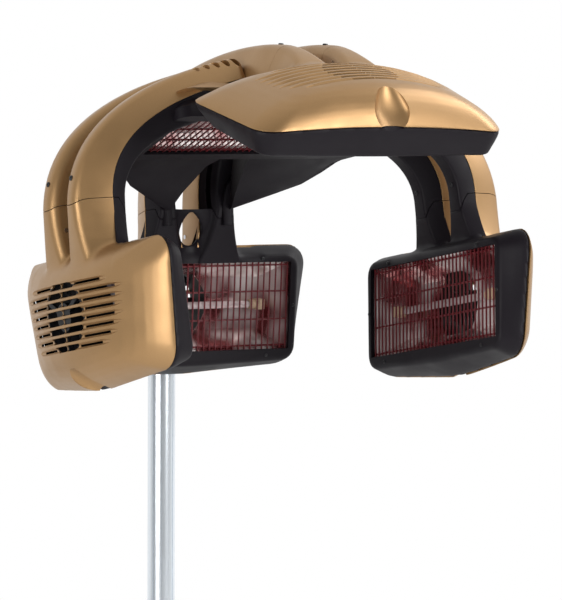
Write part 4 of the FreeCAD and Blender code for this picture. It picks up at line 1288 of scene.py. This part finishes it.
@dataclass
class TimerDial:
    """Printed ticks round the timer knob, and a pointer on its face."""
    ticks: int = 13
    radius: float = 25.5
    sweep: float = 300.0
    lean: float = 8.0
    length: float = 16.0

    def face(self) -> Matrix:
        """From the knob's frame (z out of the box, y up) to the row frame, in millimetres."""
        low, high = (Vector(corner) * 1000 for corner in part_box("timer_knob"))
        turn = Matrix.Rotation(math.radians(180), 4, "Z") @ Matrix.Rotation(
            math.radians(90 - self.lean), 4, "X")
        return Matrix.Translation((low + high) / 2) @ turn

    def scale_marks(self) -> bmesh.types.BMesh:
        """Ticks on the box's face, the end ones longer."""
        marks = []
        for k in range(self.ticks):
            long = 2.6 if k % (self.ticks - 1) == 0 else 1.6
            tick = box((-0.45, self.radius - long, 0), (0.45, self.radius + long, 0.25))
            turn = math.radians(self.sweep * (k / (self.ticks - 1) - 0.5))
            marks.append(moved(tick, Matrix.Translation((0, 0, -self.length / 2 - 0.2))
                               @ Matrix.Rotation(turn, 4, "Z")))
        return joined(marks)

    def build(self) -> None:
        """Makes and dresses the ticks and the knob's pointer."""
        place = self.face()
        shipped("timer_scale", self.scale_marks(), place, MARKING, "base")
        top = self.length / 2
        pointer = box((-0.7, 6, top - 0.2), (0.7, 16, top + 0.25), 0.1)
        shipped("timer_pointer", pointer, place, MARKING, "timer_knob")


# ------------------------------------------------------------------ CAD nodes that stay
NODE_FINISH = {"reflector": MIRROR, "fan_frame": FAN_BLACK, "fan_rotor": FAN_BLACK,
               "hub_cover": GOLD, "crown_guard": ENAMEL, "lamp": QUARTZ,
               "hinge_pins": PLAIN_STEEL, "column_tube": BRIGHT_TUBE,
               "guide_bush": NYLON, "outer_column": SATIN_TUBE,
               "column_collar": CHARCOAL, "clamp_knob": CHARCOAL, "base_star": CAST,
               "housing": NYLON, "wheels": NYLON,
               "control_panel": CHARCOAL, "timer_knob": CHARCOAL}


def dress_nodes() -> None:
    """Gives every CAD node that stays in view its finish."""
    for name, node in frame["nodes"].items():
        finish = next((f for key, f in NODE_FINISH.items() if name.endswith(key)), CHARCOAL)
        node.data.materials.clear()
        node.data.materials.append(finish.material())


# ------------------------------------------------------------------ studio
@dataclass
class Studio:
    """Camera, lights, floor and background."""
    eye: tuple[float, float, float] = (-2.48975, -4.70595, 1.46691)
    yaw: float = 0.5166
    pitch: float = 0.05475
    roll: float = -0.0045
    lens: float = 238.67
    backdrop: float = 1.0
    dark_end: float = 0.16
    ambient: float = 0.2
    floor_lift: float = 0.42

    def camera(self) -> None:
        """A long lens at the client's left front, a little above the heads."""
        data = bpy.data.cameras.new("camera")
        data.lens, data.sensor_width = self.lens, 36.0
        data.clip_end = 60
        eye = bpy.data.objects.new("camera", data)
        ahead = Vector((math.sin(self.yaw) * math.cos(self.pitch),
                        math.cos(self.yaw) * math.cos(self.pitch), -math.sin(self.pitch)))
        turn = ahead.to_track_quat("-Z", "Y").to_matrix().to_4x4()
        eye.matrix_world = (Matrix.Translation(self.eye) @ turn
                            @ Matrix.Rotation(-self.roll, 4, "Z"))
        bpy.context.scene.collection.objects.link(eye)
        bpy.context.scene.camera = eye

    def lights(self) -> None:
        """Soft boxes at the left, in front at the right, and high on the right."""
        for name, spot, aim, size, power in (
                ("left_box", (-2.9, -1.7, 1.3), (0, -0.2, 1.3), 1.5, 64),
                ("front_box", (1.2, -3.6, 1.8), (0, -0.2, 1.3), 1.5, 92),
                ("top_box", (2.2, -0.6, 2.9), (0, -0.3, 1.3), 1.5, 40)):
            data = bpy.data.lights.new(name, "AREA")
            data.shape, data.size, data.energy = "SQUARE", size, power
            lamp = bpy.data.objects.new(name, data)
            lamp.location = spot
            lamp.rotation_euler = (Vector(aim) - Vector(spot)).to_track_quat("-Z", "Y").to_euler()
            bpy.context.scene.collection.objects.link(lamp)

    def world(self) -> None:
        """White for the camera and glass; reflections see the room's dark end by the camera."""
        world = bpy.data.worlds.new("studio")
        world.use_nodes = True
        bpy.context.scene.world = world
        nodes, links = world.node_tree.nodes, world.node_tree.links
        nodes.clear()
        path = nodes.new("ShaderNodeLightPath")
        direction = nodes.new("ShaderNodeTexCoord")
        facing = nodes.new("ShaderNodeVectorMath")
        facing.operation = "DOT_PRODUCT"
        links.new(direction.outputs["Generated"], facing.inputs[0])
        facing.inputs[1].default_value = (math.sin(self.yaw), math.cos(self.yaw), 0.25)
        room = nodes.new("ShaderNodeMapRange")
        links.new(facing.outputs["Value"], room.inputs["Value"])
        for socket, value in (("From Min", -0.55), ("From Max", 0.35), ("To Min", self.dark_end),
                              ("To Max", self.backdrop)):
            room.inputs[socket].default_value = value
        glossy = nodes.new("ShaderNodeMath")
        glossy.operation = "MULTIPLY"
        links.new(path.outputs["Is Glossy Ray"], glossy.inputs[0])
        links.new(room.outputs["Result"], glossy.inputs[1])
        total = glossy
        for ray in ("Is Camera Ray", "Is Transmission Ray"):
            wider = nodes.new("ShaderNodeMath")
            wider.operation = "MAXIMUM"
            links.new(total.outputs[0], wider.inputs[0])
            links.new(path.outputs[ray], wider.inputs[1])
            total = wider
        strength = nodes.new("ShaderNodeMath")
        strength.operation = "MAXIMUM"
        links.new(total.outputs[0], strength.inputs[0])
        lamp_side = nodes.new("ShaderNodeMath")
        lamp_side.operation = "MULTIPLY"
        lamp_side.inputs[0].default_value = self.ambient
        links.new(path.outputs["Is Diffuse Ray"], lamp_side.inputs[1])
        links.new(lamp_side.outputs[0], strength.inputs[1])
        sky = nodes.new("ShaderNodeBackground")
        sky.inputs["Color"].default_value = (1, 1, 1, 1)
        links.new(strength.outputs[0], sky.inputs["Strength"])
        out = nodes.new("ShaderNodeOutputWorld")
        links.new(sky.outputs[0], out.inputs["Surface"])

    def floor(self) -> None:
        """A plain pale floor."""
        bm = bmesh.new()
        bmesh.ops.create_grid(bm, x_segments=1, y_segments=1, size=4)
        mesh = bpy.data.meshes.new("floor")
        bm.to_mesh(mesh)
        bm.free()
        sketch = Sketch("pale_floor")
        pale = sketch.blend(sketch.noise(6), (0.82, 0.82, 0.81), (0.86, 0.86, 0.85))
        sketch.feed(sketch.shader, Roughness=0.8, Base_Color=pale)
        sketch.pale_where_seen(self.floor_lift)
        mesh.materials.append(sketch.material)
        floor = bpy.data.objects.new("floor", mesh)
        bpy.context.scene.collection.objects.link(floor)

    def build(self) -> None:
        """Sets the whole studio."""
        bpy.context.scene.view_settings.view_transform = "Standard"
        self.camera()
        self.lights()
        self.world()
        self.floor()


def main() -> None:
    """Builds the studio and every sub-assembly."""
    logging.basicConfig(level=logging.INFO, format="%(name)s: %(message)s")
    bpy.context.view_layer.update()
    Studio().build()
    dress_nodes()
    HoodArms().build()
    Hub().build()
    TimerDial().build()
    for side in Side:
        Head(side).build()


if __name__ == "__main__":
    main()
